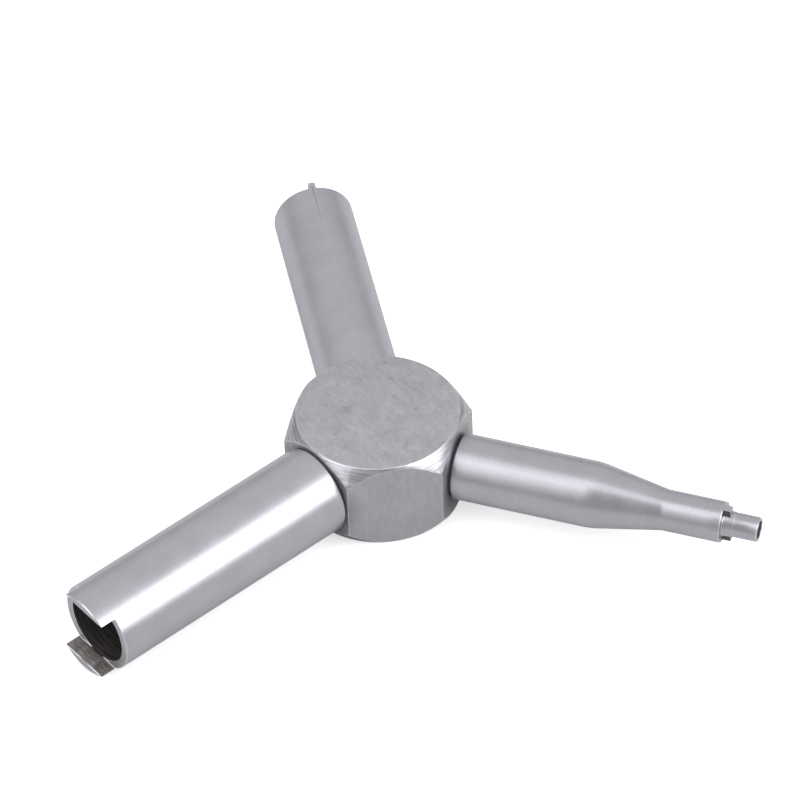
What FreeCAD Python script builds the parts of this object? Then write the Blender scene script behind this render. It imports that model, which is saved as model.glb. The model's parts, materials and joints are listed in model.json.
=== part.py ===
import FreeCAD, Part
import math
import os

import Sketcher

# Three-arm pronged spanner: a hexagonal hub with three turned arms on alternate flats.
# Frame: +Z is the hub's axis and the origin is the centre of the hub's bottom face. The
# narrow prong arm points along +Y, the wide prong arm to 210 degrees and the slim tip arm
# to 330 degrees. Each arm and stud is drawn along its own +X, starting from the hub's axis,
# so a station is a distance from that axis. All lengths are in millimetres.

DIMENSIONS = {
    # Hub: its flats stand at hub_flat_distance from its axis
    "hub_flat_distance": 10.0,
    "hub_thickness": 12.3,
    "hub_face_radius": 9.85,
    # The turned cut that chamfers the corners runs outward and inward by these, past them
    "hub_chamfer_width": 3.4,
    "hub_chamfer_depth": 4.7,
    "cut_margin": 1.0,
    # Tapped holes, drawn at the thread's outer size, and the studs that sit in them
    "tapped_hole_radius": 2.5,
    "drill_point_length": 1.4,
    "hub_hole_bottom": 3.2,
    "hub_hole_countersink": 0.4,
    "arm_hole_bottom": 17.5,
    "stud_radius": 2.49,
    "stud_inner_end": 3.5,
    "stud_outer_end": 17.0,
    "stud_end_chamfer": 0.5,
    "stud_socket_flat_distance": 1.25,
    "stud_socket_depth": 2.5,
    # Wide prong arm: two prongs are left by a slot with parallel flats
    "wide_radius": 5.55,
    "wide_bore_radius": 4.55,
    "wide_bore_bottom": 24.0,
    "wide_bore_point": 2.7,
    "wide_rim": 44.0,
    "wide_prong_end": 46.1,
    "wide_slot_half_width": 4.45,
    "wide_root_chamfer": 0.3,
    "wide_end_break": 0.12,
    # Narrow prong arm: two narrow prongs stand on the rim
    "narrow_radius": 5.0,
    "narrow_bore_radius": 4.0,
    "narrow_bore_bottom": 24.0,
    "narrow_bore_point": 2.4,
    "narrow_rim": 43.0,
    "narrow_prong_end": 44.0,
    "narrow_prong_half_width": 0.435,
    "narrow_prong_foot_radius": 0.2,
    "narrow_root_chamfer": 0.3,
    "narrow_end_break": 0.12,
    # Slim tip arm: a straight shank, a cone, a small barrel, a blade and a hollow pilot
    "slim_radius": 4.05,
    "slim_root_chamfer": 0.4,
    "cone_start": 27.4,
    "cone_end": 36.0,
    "tip_radius": 2.5,
    "tip_shoulder": 43.3,
    "tip_shoulder_break": 0.1,
    "blade_length": 0.95,
    "blade_half_width": 0.475,
    "pilot_root_radius": 1.6,
    "pilot_root_end": 44.7,
    "pilot_radius": 1.5,
    "pilot_end": 47.65,
    "pilot_end_break": 0.12,
    "pilot_bore_radius": 1.1,
    "pilot_bore_depth": 8.0,
}

# Each arm's heading about the hub's axis, and its roll about its own axis, in degrees.
ARM_HEADINGS = {"wide": 210.0, "narrow": 90.0, "slim": 330.0}
ARM_ROLLS = {"wide": -5.0, "narrow": 1.6, "slim": 0.0}

FULL_TURN = 360.0
HEXAGON_SIDES = 6
LEAST_CUT = 0.01        # a cut that removes less than this, in cubic millimetres, missed

# Sketcher's own numbers for a curve's points, and for a sketch's axes and origin
START, END, CENTRE = 1, 2, 3
HORIZONTAL_AXIS, VERTICAL_AXIS = -1, -2
ORIGIN_POINT = (HORIZONTAL_AXIS, START)


def make_sheet(document):
    """Put every driving dimension in a spreadsheet cell with an alias."""
    sheet = document.addObject("Spreadsheet::Sheet", "dims")
    for row, (alias, value) in enumerate(DIMENSIONS.items(), start=1):
        sheet.set(f"A{row}", alias)
        sheet.set(f"B{row}", str(value))
        sheet.setAlias(f"B{row}", alias)


def evaluate(formula):
    """Return the present value of a formula, a sum of aliases such as 'wide_rim + cut_margin'."""
    total = 0.0
    sign = 1.0
    for word in formula.split():
        if word in "+-":
            sign = -1.0 if word == "-" else 1.0
        else:
            total += sign * DIMENSIONS.get(word, 0.0)
    return total


def from_sheet(formula):
    """Return a formula of aliases as an expression that reads the sheet."""
    return " ".join(word if word in "+-" else f"dims.{word}" for word in formula.split())


def vector(across, up):
    """Return a point in a sketch."""
    return FreeCAD.Vector(across, up, 0)


def origin_feature(body, role):
    """Return one of a body's own origin planes or axes."""
    return next(item for item in body.Origin.OriginFeatures if item.Role == role)


def new_sketch(body, name, plane, offset=None):
    """Attach a sketch to an origin plane of its body, moved along the normal by offset."""
    sketch = body.newObject("Sketcher::SketchObject", name)
    sketch.AttachmentSupport = (origin_feature(body, plane), [""])
    sketch.MapMode = "FlatFace"
    if offset:
        sketch.setExpression("AttachmentOffset.Base.z", from_sheet(offset))
    return sketch


def constrain(sketch, *terms):
    """Add a geometric constraint."""
    return sketch.addConstraint(Sketcher.Constraint(*terms))


def measure(sketch, formula, kind, *terms):
    """Add a dimension that follows the sheet."""
    index = constrain(sketch, kind, *terms, evaluate(formula))
    sketch.setExpression(f"Constraints[{index}]", from_sheet(formula))


def hold_point(sketch, geometry, point, across, up):
    """Hold a point at a place given by two formulas, where '0' means on that axis."""
    for formula, kind, axis in (
        (across, "DistanceX", VERTICAL_AXIS),
        (up, "DistanceY", HORIZONTAL_AXIS),
    ):
        if formula == "0":
            constrain(sketch, "PointOnObject", geometry, point, axis)
        else:
            measure(sketch, formula, kind, *ORIGIN_POINT, geometry, point)


def draw_loop(sketch, points):
    """Draw straight edges round a closed loop of points, joined end to start."""
    following = points[1:] + points[:1]
    edges = [
        sketch.addGeometry(Part.LineSegment(first, second), False)
        for first, second in zip(points, following)
    ]
    for before, after in zip(edges, edges[1:] + edges[:1]):
        constrain(sketch, "Coincident", before, END, after, START)
    return edges


def draw_outline(sketch, corners):
    """Draw a closed outline through corners, each a pair of formulas."""
    edges = draw_loop(sketch, [vector(evaluate(across), evaluate(up)) for across, up in corners])
    for edge, (across, up) in zip(edges, corners):
        hold_point(sketch, edge, START, across, up)


def draw_circle(sketch, radius, guide=False):
    """Draw a circle about the sketch's origin, as a guide if it is only for construction."""
    circle = Part.Circle(vector(0, 0), FreeCAD.Vector(0, 0, 1), evaluate(radius))
    geometry = sketch.addGeometry(circle, guide)
    constrain(sketch, "Coincident", geometry, CENTRE, *ORIGIN_POINT)
    if not guide:
        measure(sketch, radius, "Radius", geometry)
    return geometry


def draw_hexagon(sketch, flat_distance):
    """Draw a regular hexagon about the origin, with a corner on the horizontal axis."""
    corner_radius = 2 * evaluate(flat_distance) / math.sqrt(3)
    angles = [FULL_TURN * side / HEXAGON_SIDES for side in range(HEXAGON_SIDES)]
    corners = [
        vector(corner_radius * math.cos(angle), corner_radius * math.sin(angle))
        for angle in map(math.radians, angles)
    ]
    guide = draw_circle(sketch, flat_distance, guide=True)
    edges = draw_loop(sketch, corners)
    for edge in edges:
        constrain(sketch, "PointOnObject", edge, START, guide)
    for edge in edges[1:]:
        constrain(sketch, "Equal", edges[0], edge)
    constrain(sketch, "PointOnObject", edges[0], START, HORIZONTAL_AXIS)
    index = constrain(sketch, "Radius", guide, corner_radius)
    sketch.setExpression(f"Constraints[{index}]", f"2 * dims.{flat_distance} / sqrt(3)")


def draw_slot(sketch, near, far, half_width):
    """Draw a rectangle from near to far, centred on the horizontal axis."""
    low, high = -evaluate(half_width), evaluate(half_width)
    start, stop = evaluate(near), evaluate(far)
    corners = [vector(start, low), vector(stop, low), vector(stop, high), vector(start, high)]
    bottom, end, top, mouth = draw_loop(sketch, corners)
    constrain(sketch, "Horizontal", bottom)
    constrain(sketch, "Horizontal", top)
    constrain(sketch, "Vertical", end)
    constrain(sketch, "Symmetric", bottom, START, mouth, START, HORIZONTAL_AXIS)
    hold_point(sketch, top, START, far, half_width)
    measure(sketch, near, "DistanceX", *ORIGIN_POINT, mouth, START)


def draw_rounded_notch(sketch, near, far, low, high, radius):
    """Draw a rectangle whose corner at near and low is rounded."""
    start, stop = evaluate(near), evaluate(far)
    bottom, top = evaluate(low), evaluate(high)
    bend = evaluate(radius)
    rim = sketch.addGeometry(
        Part.LineSegment(vector(start, top), vector(start, bottom + bend)), False)
    side = sketch.addGeometry(
        Part.LineSegment(vector(start + bend, bottom), vector(stop, bottom)), False)
    end = sketch.addGeometry(Part.LineSegment(vector(stop, bottom), vector(stop, top)), False)
    outer = sketch.addGeometry(Part.LineSegment(vector(stop, top), vector(start, top)), False)
    circle = Part.Circle(vector(start + bend, bottom + bend), FreeCAD.Vector(0, 0, 1), bend)
    corner = sketch.addGeometry(
        Part.ArcOfCircle(circle, math.pi, 1.5 * math.pi), False)
    constrain(sketch, "Tangent", corner, START, rim, END)
    constrain(sketch, "Tangent", corner, END, side, START)
    constrain(sketch, "Coincident", side, END, end, START)
    constrain(sketch, "Coincident", end, END, outer, START)
    constrain(sketch, "Coincident", outer, END, rim, START)
    for edge in (rim, end):
        constrain(sketch, "Vertical", edge)
    for edge in (side, outer):
        constrain(sketch, "Horizontal", edge)
    hold_point(sketch, rim, START, near, high)
    hold_point(sketch, side, END, far, low)
    measure(sketch, radius, "Radius", corner)


def draw_round_ended_bar(sketch, half_width, radius):
    """Draw an upright bar across a circle's middle, ended by the circle itself."""
    half, reach = evaluate(half_width), evaluate(radius)
    lean = math.acos(half / reach)
    height = math.sqrt(reach ** 2 - half ** 2)
    circle = Part.Circle(vector(0, 0), FreeCAD.Vector(0, 0, 1), reach)
    right = sketch.addGeometry(Part.LineSegment(vector(half, -height), vector(half, height)), False)
    left = sketch.addGeometry(Part.LineSegment(vector(-half, height), vector(-half, -height)), False)
    top = sketch.addGeometry(Part.ArcOfCircle(circle, lean, math.pi - lean), False)
    bottom = sketch.addGeometry(
        Part.ArcOfCircle(circle, math.pi + lean, 2 * math.pi - lean), False)
    for before, after in ((right, top), (top, left), (left, bottom), (bottom, right)):
        constrain(sketch, "Coincident", before, END, after, START)
    for arc in (top, bottom):
        constrain(sketch, "Coincident", arc, CENTRE, *ORIGIN_POINT)
    for edge in (right, left):
        constrain(sketch, "Vertical", edge)
    measure(sketch, radius, "Radius", top)
    measure(sketch, half_width, "DistanceX", *ORIGIN_POINT, right, START)
    measure(sketch, half_width, "DistanceX", left, START, *ORIGIN_POINT)


def revolve(body, kind, name, sketch, axis="H_Axis"):
    """Add a full Revolution or Groove of a sketch about one of its own axes."""
    feature = body.newObject(f"PartDesign::{kind}", name)
    feature.Profile = sketch
    feature.ReferenceAxis = (sketch, [axis])
    feature.Angle = FULL_TURN
    return feature


def extrude(body, kind, name, sketch, length):
    """Add a Pad or a Pocket of a sketch."""
    feature = body.newObject(f"PartDesign::{kind}", name)
    feature.Profile = sketch
    feature.setExpression("Length", from_sheet(length))
    return feature


def cut_through(body, name, sketch):
    """Add a Pocket that runs through everything on both sides of its sketch."""
    feature = body.newObject("PartDesign::Pocket", name)
    feature.Profile = sketch
    feature.Type = "ThroughAll"
    feature.Midplane = True
    return feature


def check_cut(document, feature):
    """Recompute, and stop if a cutting feature removed nothing."""
    uncut = feature.BaseFeature or feature.Originals[0]
    document.recompute()
    removed = uncut.Shape.Volume - feature.Shape.Volume
    if removed < LEAST_CUT:
        raise RuntimeError(f"{feature.Name} removed only {removed:.4f} cubic millimetres")


def new_body(document, name):
    """Make a body that is labelled with its node's name."""
    body = document.addObject("PartDesign::Body", name)
    body.Label = name
    return body


def point_along_arm(body, arm):
    """Turn a body that is drawn along +X to its arm's heading, at the hub's mid-height."""
    heading = FreeCAD.Rotation(FreeCAD.Vector(0, 0, 1), ARM_HEADINGS[arm])
    roll = FreeCAD.Rotation(FreeCAD.Vector(1, 0, 0), ARM_ROLLS[arm])
    body.Placement = FreeCAD.Placement(FreeCAD.Vector(), heading * roll)
    body.setExpression(".Placement.Base.z", "dims.hub_thickness / 2")


def make_hub(document):
    """Make the hub: a hexagon with turned corners and a tapped hole in every other flat."""
    body = new_body(document, "hex_hub")
    hexagon = new_sketch(body, "hub_hexagon", "XY_Plane")
    draw_hexagon(hexagon, "hub_flat_distance")
    extrude(body, "Pad", "hub_pad", hexagon, "hub_thickness")
    document.recompute()

    # Both faces end in a circle just inside the flats, and a cone falls from it to the corners.
    outer = "hub_face_radius + hub_chamfer_width"
    for side, face, cone_foot in (
        ("top", "hub_thickness", "hub_thickness - hub_chamfer_depth"),
        ("bottom", "0", "hub_chamfer_depth"),
    ):
        profile = new_sketch(body, f"hub_{side}_profile", "XZ_Plane")
        draw_outline(profile, [("hub_face_radius", face), (outer, face), (outer, cone_foot)])
        chamfer = revolve(body, "Groove", f"hub_{side}_chamfer", profile, "V_Axis")
        check_cut(document, chamfer)

    # The hole is drawn in the +Y flat, from its drill point to its countersunk mouth.
    profile = new_sketch(body, "hub_hole_profile", "YZ_Plane")
    profile.setExpression("AttachmentOffset.Base.y", "dims.hub_thickness / 2")
    draw_outline(profile, [
        ("hub_hole_bottom - drill_point_length", "0"),
        ("hub_flat_distance + cut_margin", "0"),
        ("hub_flat_distance + cut_margin", "tapped_hole_radius + hub_hole_countersink + cut_margin"),
        ("hub_flat_distance - hub_hole_countersink", "tapped_hole_radius"),
        ("hub_hole_bottom", "tapped_hole_radius"),
    ])
    hole = revolve(body, "Groove", "hub_hole", profile)
    check_cut(document, hole)
    pattern = body.newObject("PartDesign::PolarPattern", "hub_holes")
    pattern.Originals = [hole]
    pattern.Axis = (origin_feature(body, "Z_Axis"), [""])
    pattern.Angle = FULL_TURN
    pattern.Occurrences = len(ARM_HEADINGS)
    body.Tip = pattern
    check_cut(document, pattern)
    return body


def make_tube(document, arm):
    """Make the turned blank of a prong arm: tapped at its root and bored from its end."""
    body = new_body(document, f"{arm}_prong_arm")
    profile = new_sketch(body, f"{arm}_profile", "XZ_Plane")
    draw_outline(profile, [
        ("hub_flat_distance", "tapped_hole_radius"),
        ("hub_flat_distance", f"{arm}_radius - {arm}_root_chamfer"),
        (f"hub_flat_distance + {arm}_root_chamfer", f"{arm}_radius"),
        (f"{arm}_prong_end - {arm}_end_break", f"{arm}_radius"),
        (f"{arm}_prong_end", f"{arm}_radius - {arm}_end_break"),
        (f"{arm}_prong_end", f"{arm}_bore_radius"),
        (f"{arm}_bore_bottom", f"{arm}_bore_radius"),
        (f"{arm}_bore_bottom - {arm}_bore_point", "0"),
        ("arm_hole_bottom + drill_point_length", "0"),
        ("arm_hole_bottom", "tapped_hole_radius"),
    ])
    revolve(body, "Revolution", f"{arm}_blank", profile)
    document.recompute()
    return body


def make_wide_arm(document):
    """Make the wide prong arm, whose end slot leaves a prong above and one below."""
    body = make_tube(document, "wide")
    slot = new_sketch(body, "wide_slot", "XZ_Plane")
    draw_slot(slot, "wide_rim", "wide_prong_end + cut_margin", "wide_slot_half_width")
    check_cut(document, cut_through(body, "wide_slot_cut", slot))
    point_along_arm(body, "wide")
    return body


def make_narrow_arm(document):
    """Make the narrow prong arm, whose rim is cut back either side of two narrow prongs."""
    body = make_tube(document, "narrow")
    notch = new_sketch(body, "narrow_notch", "XY_Plane")
    draw_rounded_notch(
        notch,
        near="narrow_rim",
        far="narrow_prong_end + cut_margin",
        low="narrow_prong_half_width",
        high="narrow_radius + cut_margin",
        radius="narrow_prong_foot_radius",
    )
    cut = cut_through(body, "narrow_notch_cut", notch)
    check_cut(document, cut)
    mirrored = body.newObject("PartDesign::Mirrored", "narrow_notch_pair")
    mirrored.Originals = [cut]
    mirrored.MirrorPlane = (origin_feature(body, "XZ_Plane"), [""])
    body.Tip = mirrored
    check_cut(document, mirrored)
    point_along_arm(body, "narrow")
    return body


def make_slim_arm(document):
    """Make the slim tip arm: shank, cone, barrel, cross blade and hollow pilot."""
    body = new_body(document, "slim_tip_arm")
    profile = new_sketch(body, "slim_profile", "XZ_Plane")
    draw_outline(profile, [
        ("hub_flat_distance", "tapped_hole_radius"),
        ("hub_flat_distance", "slim_radius - slim_root_chamfer"),
        ("hub_flat_distance + slim_root_chamfer", "slim_radius"),
        ("cone_start", "slim_radius"),
        ("cone_end", "tip_radius"),
        ("tip_shoulder - tip_shoulder_break", "tip_radius"),
        ("tip_shoulder", "tip_radius - tip_shoulder_break"),
        ("tip_shoulder", "pilot_root_radius"),
        ("pilot_root_end", "pilot_radius"),
        ("pilot_end - pilot_end_break", "pilot_radius"),
        ("pilot_end", "pilot_radius - pilot_end_break"),
        ("pilot_end", "0"),
        ("arm_hole_bottom + drill_point_length", "0"),
        ("arm_hole_bottom", "tapped_hole_radius"),
    ])
    revolve(body, "Revolution", "slim_blank", profile)
    document.recompute()

    blade = new_sketch(body, "blade_section", "YZ_Plane", offset="tip_shoulder")
    draw_round_ended_bar(blade, "blade_half_width", "tip_radius")
    extrude(body, "Pad", "blade_pad", blade, "blade_length")
    document.recompute()

    bore = new_sketch(body, "pilot_bore", "YZ_Plane", offset="pilot_end")
    draw_circle(bore, "pilot_bore_radius")
    check_cut(document, extrude(body, "Pocket", "pilot_bore_cut", bore, "pilot_bore_depth"))
    point_along_arm(body, "slim")
    return body


def make_stud(document, arm):
    """Make the headless stud that holds an arm to the hub, with a hexagon socket."""
    body = new_body(document, f"{arm}_arm_stud")
    profile = new_sketch(body, f"{arm}_stud_profile", "XZ_Plane")
    draw_outline(profile, [
        ("stud_inner_end", "0"),
        ("stud_outer_end", "0"),
        ("stud_outer_end", "stud_radius - stud_end_chamfer"),
        ("stud_outer_end - stud_end_chamfer", "stud_radius"),
        ("stud_inner_end + stud_end_chamfer", "stud_radius"),
        ("stud_inner_end", "stud_radius - stud_end_chamfer"),
    ])
    revolve(body, "Revolution", f"{arm}_stud_blank", profile)
    document.recompute()
    socket = new_sketch(body, f"{arm}_stud_socket", "YZ_Plane", offset="stud_outer_end")
    draw_hexagon(socket, "stud_socket_flat_distance")
    check_cut(document, extrude(body, "Pocket", f"{arm}_socket_cut", socket, "stud_socket_depth"))
    point_along_arm(body, arm)
    return body


def check_document(document, bodies):
    """Stop if any object failed to compute or any sub-part is not one valid solid."""
    for item in document.Objects:
        if "Invalid" in item.State or "Error" in item.State:
            raise RuntimeError(f"{item.Name} did not compute: {item.State}")
    for body in bodies:
        shape = body.Shape
        if shape.isNull() or not shape.isValid() or len(shape.Solids) != 1:
            raise RuntimeError(f"{body.Label} is not one valid solid")


def main():
    """Build the spanner and write one STEP file for each sub-part."""
    document = FreeCAD.newDocument("three_arm_spanner")
    make_sheet(document)
    document.recompute()
    bodies = [
        make_hub(document),
        make_wide_arm(document),
        make_narrow_arm(document),
        make_slim_arm(document),
    ]
    bodies += [make_stud(document, arm) for arm in ARM_HEADINGS]
    document.recompute()
    check_document(document, bodies)
    os.makedirs("parts", exist_ok=True)
    for body in bodies:
        body.Shape.exportStep(f"parts/{body.Label}.step")
        print(f"{body.Label}: {body.Shape.Volume:.3f} cubic millimetres")


main()
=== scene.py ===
"""Looks of a three-way pronged key: a hexagon hub with three turned arms on threaded studs.

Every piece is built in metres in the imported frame. An arm is drawn in its own axes, with
+Z along the arm from the hub's axis, +Y up and +X to its left, and is then put in place, so
a station is a distance from the hub's axis along an arm.
"""

import json
import logging
import math
from dataclasses import dataclass
from enum import Enum

import bmesh
import bpy
from mathutils import Matrix, Vector


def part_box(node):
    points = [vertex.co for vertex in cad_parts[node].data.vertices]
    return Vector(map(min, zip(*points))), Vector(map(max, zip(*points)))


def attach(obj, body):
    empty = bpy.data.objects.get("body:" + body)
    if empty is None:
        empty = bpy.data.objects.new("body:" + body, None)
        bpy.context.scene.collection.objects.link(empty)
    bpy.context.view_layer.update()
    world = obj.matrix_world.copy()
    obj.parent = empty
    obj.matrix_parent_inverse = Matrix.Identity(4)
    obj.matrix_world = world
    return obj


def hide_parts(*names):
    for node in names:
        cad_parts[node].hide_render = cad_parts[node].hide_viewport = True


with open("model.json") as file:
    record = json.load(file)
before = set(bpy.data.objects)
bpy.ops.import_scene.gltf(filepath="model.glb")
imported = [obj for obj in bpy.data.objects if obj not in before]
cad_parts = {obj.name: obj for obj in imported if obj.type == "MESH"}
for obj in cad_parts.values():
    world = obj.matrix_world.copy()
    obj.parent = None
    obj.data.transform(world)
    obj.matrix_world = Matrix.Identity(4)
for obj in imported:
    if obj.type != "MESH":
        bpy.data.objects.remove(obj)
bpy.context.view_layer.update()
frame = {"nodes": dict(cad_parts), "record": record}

LOG = logging.getLogger("pronged_key")
BODY = "root"
MM = 0.001
WELD = 0.0005 * MM
WIDE_RADIUS = 5.55 * MM
NARROW_RADIUS = 5.0 * MM
SLIM_RADIUS = 4.05 * MM
INSIDE_BOX = 1 - 3e-6        # keeps the hub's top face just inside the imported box
SHARP_ANGLE = math.radians(28)
QUARTER = math.pi / 2
FULL_TURN = 2 * math.pi


# ---------------------------------------------------------------- places on the frame


@dataclass(frozen=True)
class ArmAxis:
    """The line that an arm is turned about.

    Attributes:
        heading: Direction of the arm about the hub's axis, in radians from +X.
        height: Height of the line over the hub's rest face, in metres.
    """

    heading: float
    height: float

    @classmethod
    def of_mount(cls, name: str) -> "ArmAxis":
        """Read an arm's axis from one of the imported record's mounts.

        Args:
            name: Name of a mount on the arm's axis.

        Returns:
            The axis.
        """
        mount = next(item for item in frame["record"]["mounts"] if item["name"] == name)
        across, along, _ = mount["axis"]
        return cls(math.atan2(along, across), mount["pos_m"][2])

    def matrix(self) -> Matrix:
        """Return the matrix that takes the arm's own axes to the frame's.

        Returns:
            The matrix, in metres.
        """
        along = Vector((math.cos(self.heading), math.sin(self.heading), 0))
        left = Vector((-along.y, along.x, 0))
        up = Vector((0, 0, 1))
        turned = Matrix((left, up, along)).transposed().to_4x4()
        return Matrix.Translation((0, 0, self.height)) @ turned

    def reach(self, node: str) -> tuple[float, float]:
        """Measure a CAD node along the axis.

        Args:
            node: Name of the node.

        Returns:
            Its lowest station and its highest one, in metres.
        """
        along = Vector((math.cos(self.heading), math.sin(self.heading), 0))
        stations = [corner.co.dot(along) for corner in frame["nodes"][node].data.vertices]
        return min(stations), max(stations)


# ---------------------------------------------------------------- turned skins with tabs


class Zone(Enum):
    """How a stretch of an arm's skin was worked, which its finish follows."""

    TURNED = ""
    FACED = "faced"
    BORED = "bored"
    MILLED = "milled"
    BROKEN = "broken"


class TabWall(Enum):
    """Which way the walls beside a tab run."""

    CHORD = "across the arm"
    BAR = "from the rim's outside in"


@dataclass(frozen=True)
class Tabs:
    """The pair of opposite tabs that stand on an arm's rim, one at the top and one below.

    Attributes:
        wall: Which way the tab's side walls run.
        half_width: Distance from the arm's axis to a side wall.
        outer_radius: Radius of the rim outside.
        inner_radius: Radius of the rim inside.
        height: How far the tabs stand past the rim.
        end_break: Width of the broken edge round the tab's end.
        feet: Radii of the concave feet on the two sides of each tab.
        roll: Turn of the pair about the arm, in radians.
    """

    wall: TabWall
    half_width: float
    outer_radius: float
    inner_radius: float
    height: float
    end_break: float
    feet: tuple[float, float] = (0.0, 0.0)
    roll: float = 0.0

    def half_angles(self, inset: float = 0.0) -> tuple[float, float]:
        """Find half the angle that a tab spans outside and inside the rim.

        Args:
            inset: How far inside the tab's wall to measure.

        Returns:
            The half angles on the outer and on the inner circle.
        """
        if self.wall is TabWall.CHORD:
            reach = self.half_width + inset
            return math.acos(reach / self.outer_radius), math.acos(min(1.0, reach / self.inner_radius))
        reach = self.half_width - inset
        return math.asin(reach / self.outer_radius), math.asin(reach / self.inner_radius)


@dataclass(frozen=True)
class Column:
    """One line of an arm's skin, which runs up the outside, across the rim and down inside.

    Attributes:
        outer: Angle on the outer circle.
        inner: Angle on the inner circle.
        lift: How far the rim is raised here by a tab's foot.
        on_tab: Whether the line crosses a tab's end and not the rim.
        drop: How far the tab's end is lowered here by its broken edge.
    """

    outer: float
    inner: float
    lift: float = 0.0
    on_tab: bool = False
    drop: float = 0.0


@dataclass(frozen=True)
class Ring:
    """One ring of an arm's skin. A ring of the rim has its own place where a tab stands.

    Attributes:
        station: Station of the ring.
        radius: Radius of a plain ring, or None on the rim.
        inside: Whether a plain ring follows the inner circle's angles.
        across: Place on the rim, from 0 outside to 1 inside.
        tab_station: Station of the ring on a tab.
        tab_across: Place on a tab's end, as across.
        zone: How the skin up to this ring was worked.
        tab_zone: The same, on a tab.
    """

    station: float
    radius: float | None = None
    inside: bool = False
    across: float = 0.0
    tab_station: float = 0.0
    tab_across: float = 0.0
    zone: Zone = Zone.TURNED
    tab_zone: Zone | None = None


TAB_STEPS = 12
FOOT_STEPS = 5
GAP_STEPS = 30


def columns_beside(tabs: Tabs, foot: float) -> list[Column]:
    """List the columns from a tab's middle, left out, to the middle of the gap beside it.

    Args:
        tabs: The tabs.
        foot: Radius of the tab's foot on this side.

    Returns:
        The columns, in order.
    """
    flat_outer, flat_inner = tabs.half_angles(tabs.end_break)
    wall_outer, wall_inner = tabs.half_angles()
    shares = [step / TAB_STEPS for step in range(1, TAB_STEPS + 1)]
    found = [Column(flat_outer * share, flat_inner * share, on_tab=True) for share in shares]
    found.append(Column(wall_outer, wall_inner, on_tab=True, drop=tabs.end_break))
    found.append(Column(wall_outer, wall_inner, lift=foot))
    if foot:
        for step in range(1, FOOT_STEPS + 1):
            turn = QUARTER * step / FOOT_STEPS
            out = foot * (1 - math.cos(turn))
            lift = foot * (1 - math.sin(turn))
            found.append(Column(wall_outer + out / tabs.outer_radius,
                wall_inner + out / tabs.inner_radius, lift))
    last = found[-1]
    for step in range(1, GAP_STEPS + 1):
        share = step / GAP_STEPS
        outer = last.outer + (QUARTER - last.outer) * share
        inner = last.inner + (QUARTER - last.inner) * share
        found.append(Column(outer, inner))
    return found


def columns_round(tabs: Tabs) -> list[Column]:
    """List the columns right round an arm.

    Args:
        tabs: The tabs on its rim.

    Returns:
        The columns, in the order of their angles, rolled into place.
    """
    right = columns_beside(tabs, tabs.feet[0])[:-1]
    left = columns_beside(tabs, tabs.feet[1])
    found = []
    for centre in (QUARTER + tabs.roll, 3 * QUARTER + tabs.roll):
        for column in reversed(right):
            found.append(Column(centre - column.outer, centre - column.inner, column.lift, column.on_tab,
                column.drop))
        found.append(Column(centre, centre, on_tab=True))
        for column in left:
            found.append(Column(centre + column.outer, centre + column.inner, column.lift, column.on_tab,
                column.drop))
    return found


def skin_point(ring: Ring, column: Column, tabs: Tabs, tab_end: float) -> Vector:
    """Place the point where a ring crosses a column, in the arm's own axes.

    Args:
        ring: The ring.
        column: The column.
        tabs: The tabs on the rim.
        tab_end: Station of the tabs' ends.

    Returns:
        The point, in metres.
    """
    if ring.radius is not None:
        angle = column.inner if ring.inside else column.outer
        return Vector((ring.radius * math.cos(angle), ring.radius * math.sin(angle), ring.station))
    across = ring.tab_across if column.on_tab else ring.across
    station = min(ring.tab_station, tab_end - column.drop) if column.on_tab else ring.station + column.lift
    outer = Vector((math.cos(column.outer), math.sin(column.outer), 0)) * tabs.outer_radius
    inner = Vector((math.cos(column.inner), math.sin(column.inner), 0)) * tabs.inner_radius
    return outer.lerp(inner, across) + Vector((0, 0, station))


def rim_rings(tabs: Tabs, rim: float, round_off: float) -> list[Ring]:
    """List the rings over a rim and its tabs, from the outside to the inner circle.

    Args:
        tabs: The tabs.
        rim: Station of the rim.
        round_off: Radius of the rim's outer edge.

    Returns:
        The rings.
    """
    wall = tabs.outer_radius - tabs.inner_radius
    tab_end = rim + tabs.height
    steps = 5
    rings = [Ring(rim - round_off, radius=tabs.outer_radius)]
    for step in range(1, steps + 1):
        turn = QUARTER * step / steps
        rings.append(Ring(
            rim - round_off * (1 - math.sin(turn)), across=round_off * (1 - math.cos(turn)) / wall,
            tab_station=rim - round_off * (1 - step / steps), zone=Zone.BROKEN, tab_zone=Zone.TURNED))
    edge = tabs.end_break / wall
    outside = round_off / wall
    tab_edge = tab_end - tabs.end_break
    rings.append(Ring(rim, across=outside, tab_station=tab_edge, zone=Zone.FACED, tab_zone=Zone.TURNED))
    rings.append(Ring(rim, across=outside, tab_across=edge, tab_station=tab_end, zone=Zone.FACED,
        tab_zone=Zone.BROKEN))
    for share in (0.35, 0.65):
        rings.append(Ring(rim, across=max(share, outside), tab_across=share, tab_station=tab_end,
            zone=Zone.FACED))
    return rings


def bored_rim_rings(tabs: Tabs, rim: float, edge_break: float) -> list[Ring]:
    """List the rings over the inner edge of a rim that a bore opens in.

    Args:
        tabs: The tabs.
        rim: Station of the rim.
        edge_break: Width of the broken edge.

    Returns:
        The rings, down to the bore's wall.
    """
    inner_edge = 1 - edge_break / (tabs.outer_radius - tabs.inner_radius)
    tab_end = rim + tabs.height
    return [
        Ring(rim, across=inner_edge, tab_across=inner_edge, tab_station=tab_end, zone=Zone.FACED),
        Ring(rim - edge_break, across=1, tab_across=1, tab_station=tab_end - edge_break, zone=Zone.BROKEN),
        Ring(rim - edge_break, across=1, tab_across=1, tab_station=rim - edge_break, zone=Zone.BORED,
             tab_zone=Zone.MILLED if tabs.wall is TabWall.CHORD else Zone.BORED),
    ]


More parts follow.
